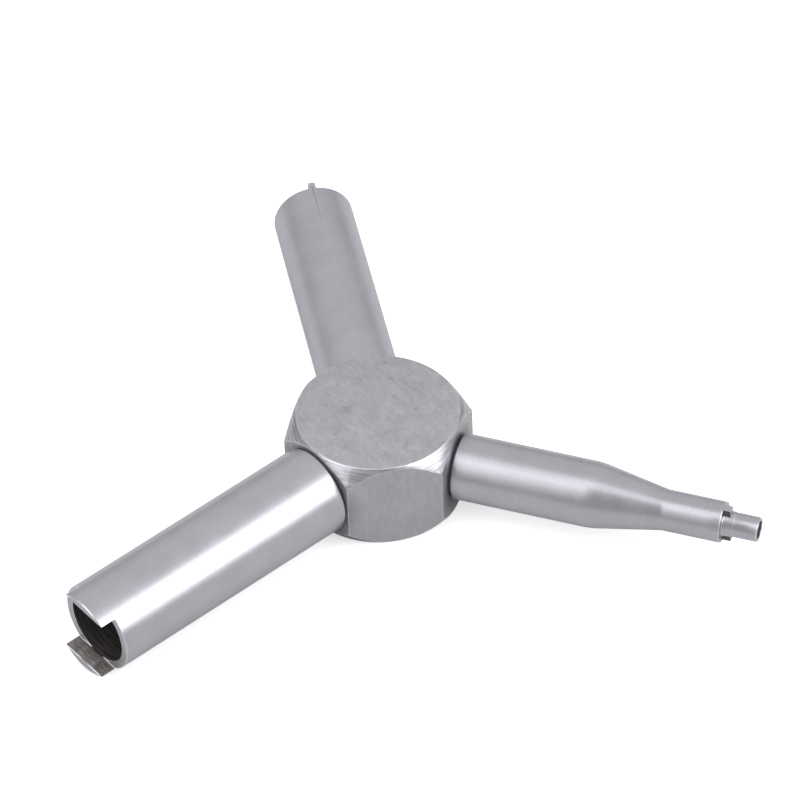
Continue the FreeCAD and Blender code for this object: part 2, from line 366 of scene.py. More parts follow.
def zone_between(ring: Ring, first: Column, second: Column) -> Zone:
    """Say how the face that ends at a ring, between two columns, was worked.

    Args:
        ring: The ring at the face's far side.
        first: The column on one side.
        second: The column on the other side.

    Returns:
        The zone.
    """
    if first.on_tab != second.on_tab:
        return Zone.MILLED
    if first.on_tab and ring.radius is None:
        broken = ring.zone is Zone.FACED and (first.drop or second.drop)
        return Zone.BROKEN if broken else (ring.tab_zone or ring.zone)
    return ring.zone


def turned_skin(name: str, rings: list[Ring], tabs: Tabs, tab_end: float,
        axis: ArmAxis) -> bpy.types.Object:
    """Build an arm's closed skin from its rings and put it in place.

    Args:
        name: Name of the piece.
        rings: Rings from the bottom of the root's hole, out over the arm and down into its end.
        tabs: The tabs on the rim.
        tab_end: Station of the tabs' ends.
        axis: The arm's axis.

    Returns:
        The piece, with a value per corner that tells each zone from the others.
    """
    columns = columns_round(tabs)
    mesh = bpy.data.meshes.new(name)
    work = bmesh.new()
    layers = {zone: work.loops.layers.float.new(zone.value) for zone in Zone if zone.value}
    grid = [[work.verts.new(skin_point(ring, column, tabs,
        tab_end)) for column in columns] for ring in rings]
    for lower in range(len(rings) - 1):
        for start in range(len(columns)):
            stop = (start + 1) % len(columns)
            face = work.faces.new((grid[lower][start], grid[lower][stop], grid[lower + 1][stop],
                grid[lower + 1][start]))
            zone = zone_between(rings[lower + 1], columns[start], columns[stop])
            if zone.value:
                for corner in face.loops:
                    corner[layers[zone]] = 1.0
    bmesh.ops.remove_doubles(work, verts=work.verts, dist=WELD)
    bmesh.ops.recalc_face_normals(work, faces=work.faces)
    work.to_mesh(mesh)
    work.free()
    mesh.transform(axis.matrix())
    piece = bpy.data.objects.new(name, mesh)
    bpy.context.scene.collection.objects.link(piece)
    return smooth_by_angle(piece)


def smooth_by_angle(piece: bpy.types.Object) -> bpy.types.Object:
    """Shade a piece smooth between its sharp edges and return it.

    Args:
        piece: The piece to shade.

    Returns:
        The same piece.
    """
    piece.data.shade_smooth()
    piece.data.set_sharp_from_angle(angle=SHARP_ANGLE)
    return piece


def rounded_turns(
        stations: list[tuple[float, float]], blends: tuple[float, ...], steps: int = 6) -> list[tuple[
            float, float]]:
    """Round the inner corners of a turned outline.

    Args:
        stations: Station and radius at each corner.
        blends: Length of outline that each rounding takes up on either side.
        steps: Number of steps in each rounding.

    Returns:
        Station and radius at each point of the rounded outline.
    """
    points = [Vector(corner) for corner in stations]
    found = [points[0]]
    for before, corner, after, blend in zip(points, points[1:], points[2:], blends):
        start = corner + (before - corner).normalized() * blend
        stop = corner + (after - corner).normalized() * blend
        for step in range(steps + 1):
            share = step / steps
            found.append(start.lerp(corner, share).lerp(corner.lerp(stop, share), share))
    found.append(points[-1])
    return [(point.x, point.y) for point in found]


# ---------------------------------------------------------------- node trees


class Graph:
    """A node tree that is filled step by step."""

    def __init__(self, tree: bpy.types.NodeTree) -> None:
        """Start from a tree, empty or not.

        Args:
            tree: The node tree to work in.
        """
        self.tree = tree

    def add(self, kind: str, inputs: dict | None = None, **settings: object) -> bpy.types.Node:
        """Add a node.

        Args:
            kind: Blender's name for the node's type.
            inputs: Values or sockets for its inputs, by name or number.
            **settings: Properties of the node.

        Returns:
            The node.
        """
        node = self.tree.nodes.new(kind)
        for key, value in settings.items():
            setattr(node, key, value)
        for key, value in (inputs or {}).items():
            self.feed(node.inputs[key], value)
        return node

    def feed(self, socket: bpy.types.NodeSocket, value: object) -> None:
        """Link a socket to an input, or set the input's own value.

        Args:
            socket: The input.
            value: A socket to link, or a value to set.
        """
        if isinstance(value, bpy.types.NodeSocket):
            self.tree.links.new(value, socket)
        else:
            socket.default_value = value

    def maths(self, operation: str, *terms: object) -> bpy.types.NodeSocket:
        """Add a Math node over the given terms and return its result.

        Args:
            operation: Blender's name for the operation.
            terms: Values or sockets, in order.

        Returns:
            The result's socket.
        """
        node = self.add("ShaderNodeMath", operation=operation)
        for socket, term in zip(node.inputs, terms):
            self.feed(socket, term)
        return node.outputs[0]

    def vector_maths(self, operation: str, *terms: object) -> bpy.types.NodeSocket:
        """Add a Vector Math node over the given terms and return its vector.

        Args:
            operation: Blender's name for the operation.
            terms: Values or sockets, in order.

        Returns:
            The vector's socket.
        """
        node = self.add("ShaderNodeVectorMath", operation=operation)
        for socket, term in zip(node.inputs, terms):
            self.feed(socket, term)
        return node.outputs["Vector"]

    def combine(self, across: object, along: object, up: object) -> bpy.types.NodeSocket:
        """Join three numbers into a vector and return it.

        Args:
            across: The first number.
            along: The second number.
            up: The third number.

        Returns:
            The vector's socket.
        """
        return self.add("ShaderNodeCombineXYZ", {0: across, 1: along, 2: up}).outputs[0]

    def separate(self, vector: bpy.types.NodeSocket) -> list[bpy.types.NodeSocket]:
        """Split a vector and return its three numbers.

        Args:
            vector: The vector's socket.

        Returns:
            The sockets of its three numbers.
        """
        return list(self.add("ShaderNodeSeparateXYZ", {0: vector}).outputs)

    def remap(self, value: object, low: float, high: float, to_low: float,
            to_high: float) -> bpy.types.NodeSocket:
        """Stretch a range of values onto another, held at its ends, and return the result.

        Args:
            value: The value to stretch.
            low: Low end of its range.
            high: High end of its range.
            to_low: What the low end becomes.
            to_high: What the high end becomes.

        Returns:
            The result's socket.
        """
        node = self.add("ShaderNodeMapRange", {0: value, 1: low, 2: high, 3: to_low, 4: to_high},
            clamp=True)
        return node.outputs[0]

    def blend_colour(self, factor: object, first: object, second: object) -> bpy.types.NodeSocket:
        """Mix two colours by a factor and return the result.

        Args:
            factor: Share of the second colour.
            first: The first colour.
            second: The second colour.

        Returns:
            The mixed colour's socket.
        """
        node = self.add("ShaderNodeMix", data_type="RGBA")
        self.feed(node.inputs[0], factor)
        self.feed(node.inputs[6], first)
        self.feed(node.inputs[7], second)
        return node.outputs[2]

    def blend_value(self, factor: object, first: object, second: object) -> bpy.types.NodeSocket:
        """Mix two numbers by a factor and return the result.

        Args:
            factor: Share of the second number.
            first: The first number.
            second: The second number.

        Returns:
            The mixed number's socket.
        """
        node = self.add("ShaderNodeMix", data_type="FLOAT")
        for index, value in ((0, factor), (2, first), (3, second)):
            self.feed(node.inputs[index], value)
        return node.outputs[0]


def new_group(kind: str, name: str, inputs: dict[str, tuple], outputs: dict[str, str]) -> tuple[
        Graph, dict, dict]:
    """Make an empty node group with named sockets.

    Args:
        kind: Blender's name for the tree's type.
        name: Name of the group.
        inputs: Socket type and default value of each input, by name.
        outputs: Socket type of each output, by name.

    Returns:
        The group's graph, its inputs as sockets inside it, and the sockets that feed its outputs.
    """
    tree = bpy.data.node_groups.new(name, kind)
    for label, (socket_type, value) in inputs.items():
        socket = tree.interface.new_socket(name=label, in_out="INPUT", socket_type=socket_type)
        if value is not None:
            socket.default_value = value
    for label, socket_type in outputs.items():
        tree.interface.new_socket(name=label, in_out="OUTPUT", socket_type=socket_type)
    graph = Graph(tree)
    given = graph.add("NodeGroupInput").outputs
    wanted = graph.add("NodeGroupOutput").inputs
    return graph, {label: given[label] for label in inputs}, {label: wanted[label] for label in outputs}


NUMBER = "NodeSocketFloat"
COUNT = "NodeSocketInt"
DIRECTION = "NodeSocketVector"
GEOMETRY = "NodeSocketGeometry"
MATERIAL = "NodeSocketMaterial"


# ---------------------------------------------------------------- shapes that follow a rule


def lathe_group() -> bpy.types.NodeTree:
    """Make the group that spins an outline, drawn in X and Z, about the Z axis.

    Returns:
        The group.
    """
    graph, given, wanted = new_group(
        "GeometryNodeTree", "lathe", {"Outline": (GEOMETRY, None), "Segments": (COUNT, 96)}, {
            "Solid": GEOMETRY})
    size = graph.add("GeometryNodeAttributeDomainSize", {"Geometry": given["Outline"]}, component="MESH")
    around = graph.add("FunctionNodeIntegerMath", {0: given["Segments"], 1: 1}, operation="ADD").outputs[0]
    grid = graph.add("GeometryNodeMeshGrid",
        {"Vertices X": size.outputs["Point Count"], "Vertices Y": around})
    index = graph.add("GeometryNodeInputIndex").outputs[0]
    corner = graph.add("FunctionNodeIntegerMath", {0: index, 1: around},
        operation="DIVIDE_FLOOR").outputs[0]
    step = graph.add("FunctionNodeIntegerMath", {0: index, 1: around}, operation="MODULO").outputs[0]
    position = graph.add("GeometryNodeInputPosition").outputs[0]
    sample = graph.add("GeometryNodeSampleIndex", data_type="FLOAT_VECTOR", domain="POINT")
    graph.feed(sample.inputs["Geometry"], given["Outline"])
    graph.feed(sample.inputs["Value"], position)
    graph.feed(sample.inputs["Index"], corner)
    radius, _, height = graph.separate(sample.outputs[0])
    turn = graph.maths("MULTIPLY", graph.maths("DIVIDE", step, given["Segments"]), FULL_TURN)
    across = graph.maths("MULTIPLY", radius, graph.maths("COSINE", turn))
    along = graph.maths("MULTIPLY", radius, graph.maths("SINE", turn))
    placed = graph.add("GeometryNodeSetPosition", {
        "Geometry": grid.outputs["Mesh"], "Position": graph.combine(across, along, height)})
    welded = graph.add("GeometryNodeMergeByDistance", {"Geometry": placed.outputs[0], "Distance": WELD})
    outwards = graph.add("GeometryNodeFlipFaces", {"Mesh": welded.outputs[0]})
    graph.feed(wanted["Solid"], outwards.outputs[0])
    return graph.tree


def outline(graph: Graph, corners: list[tuple[object, object]]) -> bpy.types.NodeSocket:
    """Draw an outline of straight runs inside a tree, for the lathe.

    Args:
        graph: The tree's graph.
        corners: Radius and height of each corner, as numbers or sockets.

    Returns:
        The outline.
    """
    line = graph.add("GeometryNodeMeshLine", {"Count": len(corners)})
    switch = graph.add("GeometryNodeIndexSwitch", data_type="VECTOR")
    for _ in range(len(corners) - len(switch.index_switch_items)):
        switch.index_switch_items.new()
    graph.feed(switch.inputs["Index"], graph.add("GeometryNodeInputIndex").outputs[0])
    for number, (radius, height) in enumerate(corners, start=1):
        graph.feed(switch.inputs[number], graph.combine(radius, 0.0, height))
    placed = graph.add("GeometryNodeSetPosition", {
        "Geometry": line.outputs["Mesh"], "Position": switch.outputs[0]})
    return placed.outputs[0]


def spin(graph: Graph, lathe: bpy.types.NodeTree, corners: list[tuple[object, object]],
        segments: object) -> bpy.types.NodeSocket:
    """Draw an outline and spin it about Z inside a tree.

    Args:
        graph: The tree's graph.
        lathe: The lathe group.
        corners: Radius and height of each corner.
        segments: Number of segments round the axis.

    Returns:
        The solid.
    """
    node = graph.add("GeometryNodeGroup", node_tree=lathe)
    graph.feed(node.inputs["Outline"], outline(graph, corners))
    graph.feed(node.inputs["Segments"], segments)
    return node.outputs["Solid"]


def run_tree(name: str, tree: bpy.types.NodeTree, values: dict[str, object]) -> bpy.types.Object:
    """Make a piece from a geometry tree and turn it into a plain mesh.

    Args:
        name: Name of the piece.
        tree: The tree.
        values: Values of the tree's inputs, by name.

    Returns:
        The piece, with no modifier.
    """
    piece = bpy.data.objects.new(name, bpy.data.meshes.new(name))
    bpy.context.scene.collection.objects.link(piece)
    modifier = piece.modifiers.new("shape", "NODES")
    modifier.node_group = tree
    for item in tree.interface.items_tree:
        if item.item_type == "SOCKET" and item.in_out == "INPUT" and item.name in values:
            modifier[item.identifier] = values[item.name]
    return plain_mesh(piece)


def plain_mesh(piece: bpy.types.Object) -> bpy.types.Object:
    """Apply a piece's modifiers to its mesh, with its faces outwards, and return it.

    Args:
        piece: The piece whose modifiers become mesh.

    Returns:
        The same piece, without modifiers.
    """
    depsgraph = bpy.context.evaluated_depsgraph_get()
    mesh = bpy.data.meshes.new_from_object(
        piece.evaluated_get(depsgraph), preserve_all_data_layers=True, depsgraph=depsgraph)
    piece.modifiers.clear()
    mesh.name = piece.name
    piece.data = mesh
    work = bmesh.new()
    work.from_mesh(mesh)
    bmesh.ops.recalc_face_normals(work, faces=work.faces)
    work.to_mesh(mesh)
    work.free()
    return piece


def hub_tree(lathe: bpy.types.NodeTree) -> bpy.types.NodeTree:
    """Make the tree that turns, mills and drills the hub.

    The blank is a disc with both edges turned to a cone. A hexagon cut leaves its flats, and
    each of the three tapped holes is the same drilled outline, turned to its own flat.

    Args:
        lathe: The lathe group.

    Returns:
        The tree.
    """
    graph, given, wanted = new_group("GeometryNodeTree", "hexagon_hub", {
        "Across Flats": (NUMBER, 0.02), "Thickness": (NUMBER, 0.0123), "Face Radius": (NUMBER, 0.00985),
        "Chamfer Width": (NUMBER, 0.0034), "Chamfer Depth": (NUMBER, 0.0047), "Segments": (COUNT, 240),
        "Hole Radius": (NUMBER, 0.0025), "Hole Bottom": (NUMBER, 0.0032), "Drill Point": (NUMBER, 0.0014),
        "Countersink": (NUMBER, 0.0004), "Holes": (COUNT, 3), "Steel": (MATERIAL, None)}, {"Hub": GEOMETRY})
    cone_radius = graph.maths("ADD", given["Face Radius"], given["Chamfer Width"])
    cone_top = graph.maths("SUBTRACT", given["Thickness"], given["Chamfer Depth"])
    blank = spin(graph, lathe, [
        (0.0, 0.0), (given["Face Radius"], 0.0), (cone_radius, given["Chamfer Depth"]), (
            cone_radius, cone_top),
        (given["Face Radius"], given["Thickness"]), (0.0, given["Thickness"])], given["Segments"])

    flat = graph.maths("MULTIPLY", given["Across Flats"], 0.5)
    corner = graph.maths("DIVIDE", flat, math.cos(math.pi / 6))
    hexagon = graph.add("GeometryNodeMeshCylinder", {
        "Vertices": 6, "Radius": corner, "Depth": graph.maths("MULTIPLY", given["Thickness"], 2.0)})
    middle = graph.maths("MULTIPLY", given["Thickness"], 0.5)
    raised = graph.add("GeometryNodeTransform", {
        "Geometry": hexagon.outputs["Mesh"], "Translation": graph.combine(0.0, 0.0, middle)})
    milled = graph.add("GeometryNodeMeshBoolean", operation="INTERSECT", solver="EXACT")
    for solid in (blank, raised.outputs[0]):
        graph.tree.links.new(solid, milled.inputs["Mesh 2"])

    mouth = graph.maths("ADD", given["Hole Radius"], given["Countersink"])
    clear = graph.maths("ADD", flat, given["Countersink"])
    hole = spin(graph, lathe, [
        (0.0, graph.maths("SUBTRACT", given["Hole Bottom"], given["Drill Point"])),
        (given["Hole Radius"], given["Hole Bottom"]),
        (given["Hole Radius"], graph.maths("SUBTRACT", flat, given["Countersink"])),
        (mouth, flat), (mouth, clear), (0.0, clear)], 64)
    laid = graph.add("GeometryNodeTransform", {"Geometry": hole, "Rotation": (0.0, QUARTER, 0.0)})
    points = graph.add("GeometryNodePoints", {
        "Count": given["Holes"], "Position": graph.combine(0.0, 0.0, middle)})
    share = graph.maths("DIVIDE", graph.add("GeometryNodeInputIndex").outputs[0], given["Holes"])
    turn = graph.maths("ADD", graph.maths("MULTIPLY", share, FULL_TURN), QUARTER)
    holes = graph.add("GeometryNodeInstanceOnPoints", {
        "Points": points.outputs[0], "Instance": laid.outputs[0], "Rotation": graph.combine(
            0.0, 0.0, turn)})
    cutters = graph.add("GeometryNodeRealizeInstances", {"Geometry": holes.outputs[0]})
    drilled = graph.add("GeometryNodeMeshBoolean", operation="DIFFERENCE", solver="EXACT")
    graph.tree.links.new(milled.outputs["Mesh"], drilled.inputs["Mesh 1"])
    graph.tree.links.new(cutters.outputs[0], drilled.inputs["Mesh 2"])

    _, _, lean = graph.separate(graph.add("GeometryNodeInputNormal").outputs[0])
    lean = graph.maths("ABSOLUTE", lean)
    coned = graph.maths("MULTIPLY", graph.maths("GREATER_THAN", lean, 0.3),
        graph.maths("LESS_THAN", lean, 0.9))
    upright = graph.maths("LESS_THAN", lean, 0.3)
    solid = drilled.outputs["Mesh"]
    for label, value in (("coned", coned), ("flat_side", upright)):
        store = graph.add("GeometryNodeStoreNamedAttribute", data_type="FLOAT", domain="FACE")
        for socket, term in (("Geometry", solid), ("Name", label), ("Value", value)):
            graph.feed(store.inputs[socket], term)
        solid = store.outputs[0]
    realized = graph.add("GeometryNodeRealizeInstances", {"Geometry": solid})
    dressed = graph.add("GeometryNodeSetMaterial",
        {"Geometry": realized.outputs[0], "Material": given["Steel"]})
    graph.feed(wanted["Hub"], dressed.outputs[0])
    return graph.tree


def stud_tree() -> bpy.types.NodeTree:
    """Make the tree that rolls a headless stud's thread and cuts its hexagon socket.

    The thread is a grid of rings along the stud. Each point's radius follows the distance
    that the helix has run there, and the ends are chamfered and closed.

    Returns:
        The tree.
    """
    graph, given, wanted = new_group("GeometryNodeTree", "threaded_stud", {
        "Length": (NUMBER, 0.0135), "Radius": (NUMBER, 0.00249), "Pitch": (NUMBER, 0.0008),
        "Thread Depth": (NUMBER, 0.00045), "End Chamfer": (NUMBER, 0.0005), "Socket Flats": (
            NUMBER, 0.0025),
        "Socket Depth": (NUMBER, 0.0025), "Rings": (COUNT, 171), "Segments": (COUNT, 40),
        "Steel": (MATERIAL, None)}, {"Stud": GEOMETRY})
    around = graph.add("FunctionNodeIntegerMath", {0: given["Segments"], 1: 1}, operation="ADD").outputs[0]
    grid = graph.add("GeometryNodeMeshGrid", {"Vertices X": given["Rings"], "Vertices Y": around})
    index = graph.add("GeometryNodeInputIndex").outputs[0]
    ring = graph.add("FunctionNodeIntegerMath", {0: index, 1: around}, operation="DIVIDE_FLOOR").outputs[0]
    step = graph.add("FunctionNodeIntegerMath", {0: index, 1: around}, operation="MODULO").outputs[0]
    last = graph.maths("SUBTRACT", given["Rings"], 1)
    share = graph.maths("DIVIDE", graph.maths("SUBTRACT", ring, 1), graph.maths("SUBTRACT", last, 2))
    share = graph.maths("MINIMUM", graph.maths("MAXIMUM", share, 0.0), 1.0)
    station = graph.maths("MULTIPLY", share, given["Length"])
    turn = graph.maths("DIVIDE", step, given["Segments"])
    run = graph.maths("FRACT",
        graph.maths("SUBTRACT", graph.maths("DIVIDE", station, given["Pitch"]), turn))
    valley = graph.maths("ABSOLUTE", graph.maths("SUBTRACT", graph.maths("MULTIPLY", run, 2.0), 1.0))
    valley = graph.remap(valley, 0.1, 0.85, 0.0, 1.0)
    thread = graph.maths("SUBTRACT", given["Radius"],
        graph.maths("MULTIPLY", valley, given["Thread Depth"]))
    to_end = graph.maths("MINIMUM", station, graph.maths("SUBTRACT", given["Length"], station))
    end_radius = graph.maths("SUBTRACT", given["Radius"], given["End Chamfer"])
    radius = graph.maths("MINIMUM", thread, graph.maths("ADD", end_radius, to_end))
    inner = graph.maths("MULTIPLY", graph.maths("GREATER_THAN", ring, 0.5),
        graph.maths("LESS_THAN", ring, graph.maths("SUBTRACT", last, 0.5)))
    radius = graph.maths("MULTIPLY", radius, inner)
    angle = graph.maths("MULTIPLY", turn, FULL_TURN)
    across = graph.maths("MULTIPLY", radius, graph.maths("COSINE", angle))
    along = graph.maths("MULTIPLY", radius, graph.maths("SINE", angle))
    placed = graph.add("GeometryNodeSetPosition", {
        "Geometry": grid.outputs["Mesh"], "Position": graph.combine(across, along, station)})
    welded = graph.add("GeometryNodeMergeByDistance", {"Geometry": placed.outputs[0], "Distance": WELD})
    thread_skin = graph.add("GeometryNodeFlipFaces", {"Mesh": welded.outputs[0]})

    key_radius = graph.maths("DIVIDE", graph.maths("MULTIPLY", given["Socket Flats"], 0.5),
        math.cos(math.pi / 6))
    key = graph.add("GeometryNodeMeshCylinder", {
        "Vertices": 6, "Radius": key_radius, "Depth": graph.maths("MULTIPLY", given["Socket Depth"], 2.0)})
    placed_key = graph.add("GeometryNodeTransform", {
        "Geometry": key.outputs["Mesh"], "Translation": graph.combine(0.0, 0.0, given["Length"])})
    cut = graph.add("GeometryNodeMeshBoolean", operation="DIFFERENCE", solver="EXACT")
    graph.tree.links.new(thread_skin.outputs[0], cut.inputs["Mesh 1"])
    graph.tree.links.new(placed_key.outputs[0], cut.inputs["Mesh 2"])
    realized = graph.add("GeometryNodeRealizeInstances", {"Geometry": cut.outputs["Mesh"]})
    dressed = graph.add("GeometryNodeSetMaterial",
        {"Geometry": realized.outputs[0], "Material": given["Steel"]})
    graph.feed(wanted["Stud"], dressed.outputs[0])
    return graph.tree


# ---------------------------------------------------------------- effects that finishes share


def streaks_group() -> bpy.types.NodeTree:
    """Make the group that draws fine strokes along its vector's X.

    Returns:
        The group.
    """
    graph, given, wanted = new_group("ShaderNodeTree", "fine_strokes", {
        "Vector": (DIRECTION, None), "Along": (NUMBER, 300.0), "Across": (
            NUMBER, 1500.0)}, {"Tone": NUMBER})
    scale = graph.combine(given["Along"], given["Across"], given["Across"])
    stretched = graph.vector_maths("MULTIPLY", given["Vector"], scale)
    noise = graph.add("ShaderNodeTexNoise",
        {"Vector": stretched, "Scale": 1.0, "Detail": 3.0, "Roughness": 0.6})
    graph.feed(wanted["Tone"], noise.outputs[0])
    return graph.tree


def tool_marks_group() -> bpy.types.NodeTree:
    """Make the group that draws the marks a tool leaves in rings round its vector's Z.

    Facing runs from 0, where the marks follow the station, to 1, where they follow the radius.

    Returns:
        The group.
    """
    graph, given, wanted = new_group("ShaderNodeTree", "tool_marks", {
        "Vector": (DIRECTION, None), "Fineness": (NUMBER, 4000.0), "Unevenness": (NUMBER, 1.5),
        "Facing": (NUMBER, 0.0)}, {"Tone": NUMBER})
    across, along, station = graph.separate(given["Vector"])
    radius = graph.maths("SQRT",
        graph.maths("ADD", graph.maths("MULTIPLY", across, across), graph.maths("MULTIPLY", along, along)))
    feed = graph.blend_value(given["Facing"], station, radius)
    turn_across = graph.maths("MULTIPLY", graph.maths("DIVIDE", across, radius), given["Unevenness"])
    turn_along = graph.maths("MULTIPLY", graph.maths("DIVIDE", along, radius), given["Unevenness"])
    place = graph.combine(turn_across, turn_along, graph.maths("MULTIPLY", feed, given["Fineness"]))
    noise = graph.add("ShaderNodeTexNoise",
        {"Vector": place, "Scale": 1.0, "Detail": 4.0, "Roughness": 0.62})
    graph.feed(wanted["Tone"], noise.outputs[0])
    return graph.tree


def grain_group() -> bpy.types.NodeTree:
    """Make the group that draws the grain of tumbled steel, with soft patches.

    Returns:
        The group.
    """
    graph, given, wanted = new_group("ShaderNodeTree", "tumbled_grain", {
        "Vector": (DIRECTION, None), "Grain": (NUMBER, 3500.0), "Patches": (NUMBER, 350.0)},
        {"Grain": NUMBER, "Patch": NUMBER})
    fine = graph.add("ShaderNodeTexNoise",
        {"Vector": given["Vector"], "Scale": given["Grain"], "Detail": 3.0})
    soft = graph.add("ShaderNodeTexNoise",
        {"Vector": given["Vector"], "Scale": given["Patches"], "Detail": 2.0})
    graph.feed(wanted["Grain"], fine.outputs[0])
    graph.feed(wanted["Patch"], soft.outputs[0])
    return graph.tree


def edge_rub_and_highlight_group() -> bpy.types.NodeTree:
    """Make the group that turns a broken edge's mask into a patchy bright line, partly edge wear and partly a
    painted highlight.

    Returns:
        The group.
    """
    graph, given, wanted = new_group("ShaderNodeTree", "edge_rub_and_highlight", {
        "Vector": (DIRECTION, None), "Edge": (NUMBER, 0.0), "Patchiness": (NUMBER, 900.0)}, {"Rub And Highlight": NUMBER})
    noise = graph.add("ShaderNodeTexNoise",
        {"Vector": given["Vector"], "Scale": given["Patchiness"], "Detail": 2.0})
    patch = graph.remap(noise.outputs[0], 0.35, 0.65, 0.25, 1.0)
    graph.feed(wanted["Rub And Highlight"], graph.maths("MULTIPLY", given["Edge"], patch))
    return graph.tree


def scribe_group() -> bpy.types.NodeTree:
    """Make the group that draws one fading line along the top of a round arm.

    Returns:
        The group.
    """
    graph, given, wanted = new_group("ShaderNodeTree", "scribed_line", {
        "Vector": (DIRECTION, None), "Offset": (NUMBER, 0.0), "Half Width": (NUMBER, 0.0001),
        "Start": (NUMBER, 0.0355), "End": (NUMBER, 0.0432)}, {"Line": NUMBER})
    across, along, station = graph.separate(given["Vector"])
    wander = graph.add("ShaderNodeTexNoise", {"Vector": given["Vector"], "Scale": 500.0}).outputs[0]
    drift = graph.maths("MULTIPLY_ADD", wander, 0.00008, -0.00004)
    gap = graph.maths("ABSOLUTE",
        graph.maths("SUBTRACT", graph.maths("ADD", across, drift), given["Offset"]))
    share = graph.maths("DIVIDE", gap, given["Half Width"])
    line = graph.remap(share, 0.4, 1.0, 1.0, 0.0)
    fade = graph.maths("DIVIDE", graph.maths("SUBTRACT", station, given["Start"]),
                       graph.maths("SUBTRACT", given["End"], given["Start"]))
    fade = graph.maths("MINIMUM", graph.maths("MAXIMUM", fade, 0.0), 1.0)
    on_top = graph.maths("MULTIPLY", graph.maths("GREATER_THAN", along, 0.0),
                         graph.maths("LESS_THAN", station, given["End"]))
    graph.feed(wanted["Line"], graph.maths("MULTIPLY", graph.maths("MULTIPLY", line, fade), on_top))
    return graph.tree


def contact_group() -> bpy.types.NodeTree:
    """Make the group that paints shade in a ring on the hub round an arm's root, where the arm meets the
    flat.

    Returns:
        The group.
    """
    graph, given, wanted = new_group("ShaderNodeTree", "root_painted_shade", {
        "Vector": (DIRECTION, None), "Heading": (NUMBER, 0.0), "Height": (NUMBER, 0.006),
        "Radius": (NUMBER, 0.005), "Width": (NUMBER, 0.0014)}, {"Painted Shade": NUMBER})
    across, along, height = graph.separate(given["Vector"])
    cosine, sine = graph.maths("COSINE", given["Heading"]), graph.maths("SINE", given["Heading"])
    ahead = graph.maths("ADD", graph.maths("MULTIPLY", across, cosine),
        graph.maths("MULTIPLY", along, sine))
    aside = graph.maths("SUBTRACT", graph.maths("MULTIPLY", along, cosine),
        graph.maths("MULTIPLY", across, sine))
    above = graph.maths("SUBTRACT", height, given["Height"])
    reach = graph.maths("SQRT",
        graph.maths("ADD", graph.maths("MULTIPLY", aside, aside), graph.maths("MULTIPLY", above, above)))
    gap = graph.maths("DIVIDE", graph.maths("SUBTRACT", reach, given["Radius"]), given["Width"])
    noise = graph.add("ShaderNodeTexNoise",
        {"Vector": given["Vector"], "Scale": 1800.0, "Detail": 3.0}).outputs[0]
    fade = graph.remap(graph.maths("ADD", gap, graph.maths("MULTIPLY", noise, 0.8)), 0.2, 1.4, 1.0, 0.0)
    graph.feed(wanted["Painted Shade"], graph.maths("MULTIPLY", fade, graph.maths("GREATER_THAN", ahead, 0.0)))
    return graph.tree


@dataclass(frozen=True)
class Effects:
    """The shader groups that the finishes share."""

    strokes: bpy.types.NodeTree
    tool_marks: bpy.types.NodeTree
    grain: bpy.types.NodeTree
    edge_rub_and_highlight: bpy.types.NodeTree
    scribe: bpy.types.NodeTree
    contact: bpy.types.NodeTree

    @classmethod
    def build(cls) -> "Effects":
        """Build every group once and return them.

        Returns:
            The groups.
        """
        return cls(streaks_group(), tool_marks_group(), grain_group(), edge_rub_and_highlight_group(), scribe_group(),
                   contact_group())


Colour = tuple[float, float, float]


def opaque(colour: Colour) -> tuple[float, float, float, float]:
    """Return a colour with full opacity.

    Args:
        colour: Red, green and blue.

    Returns:
        Red, green, blue and an alpha of one.
    """
    return (*colour, 1.0)


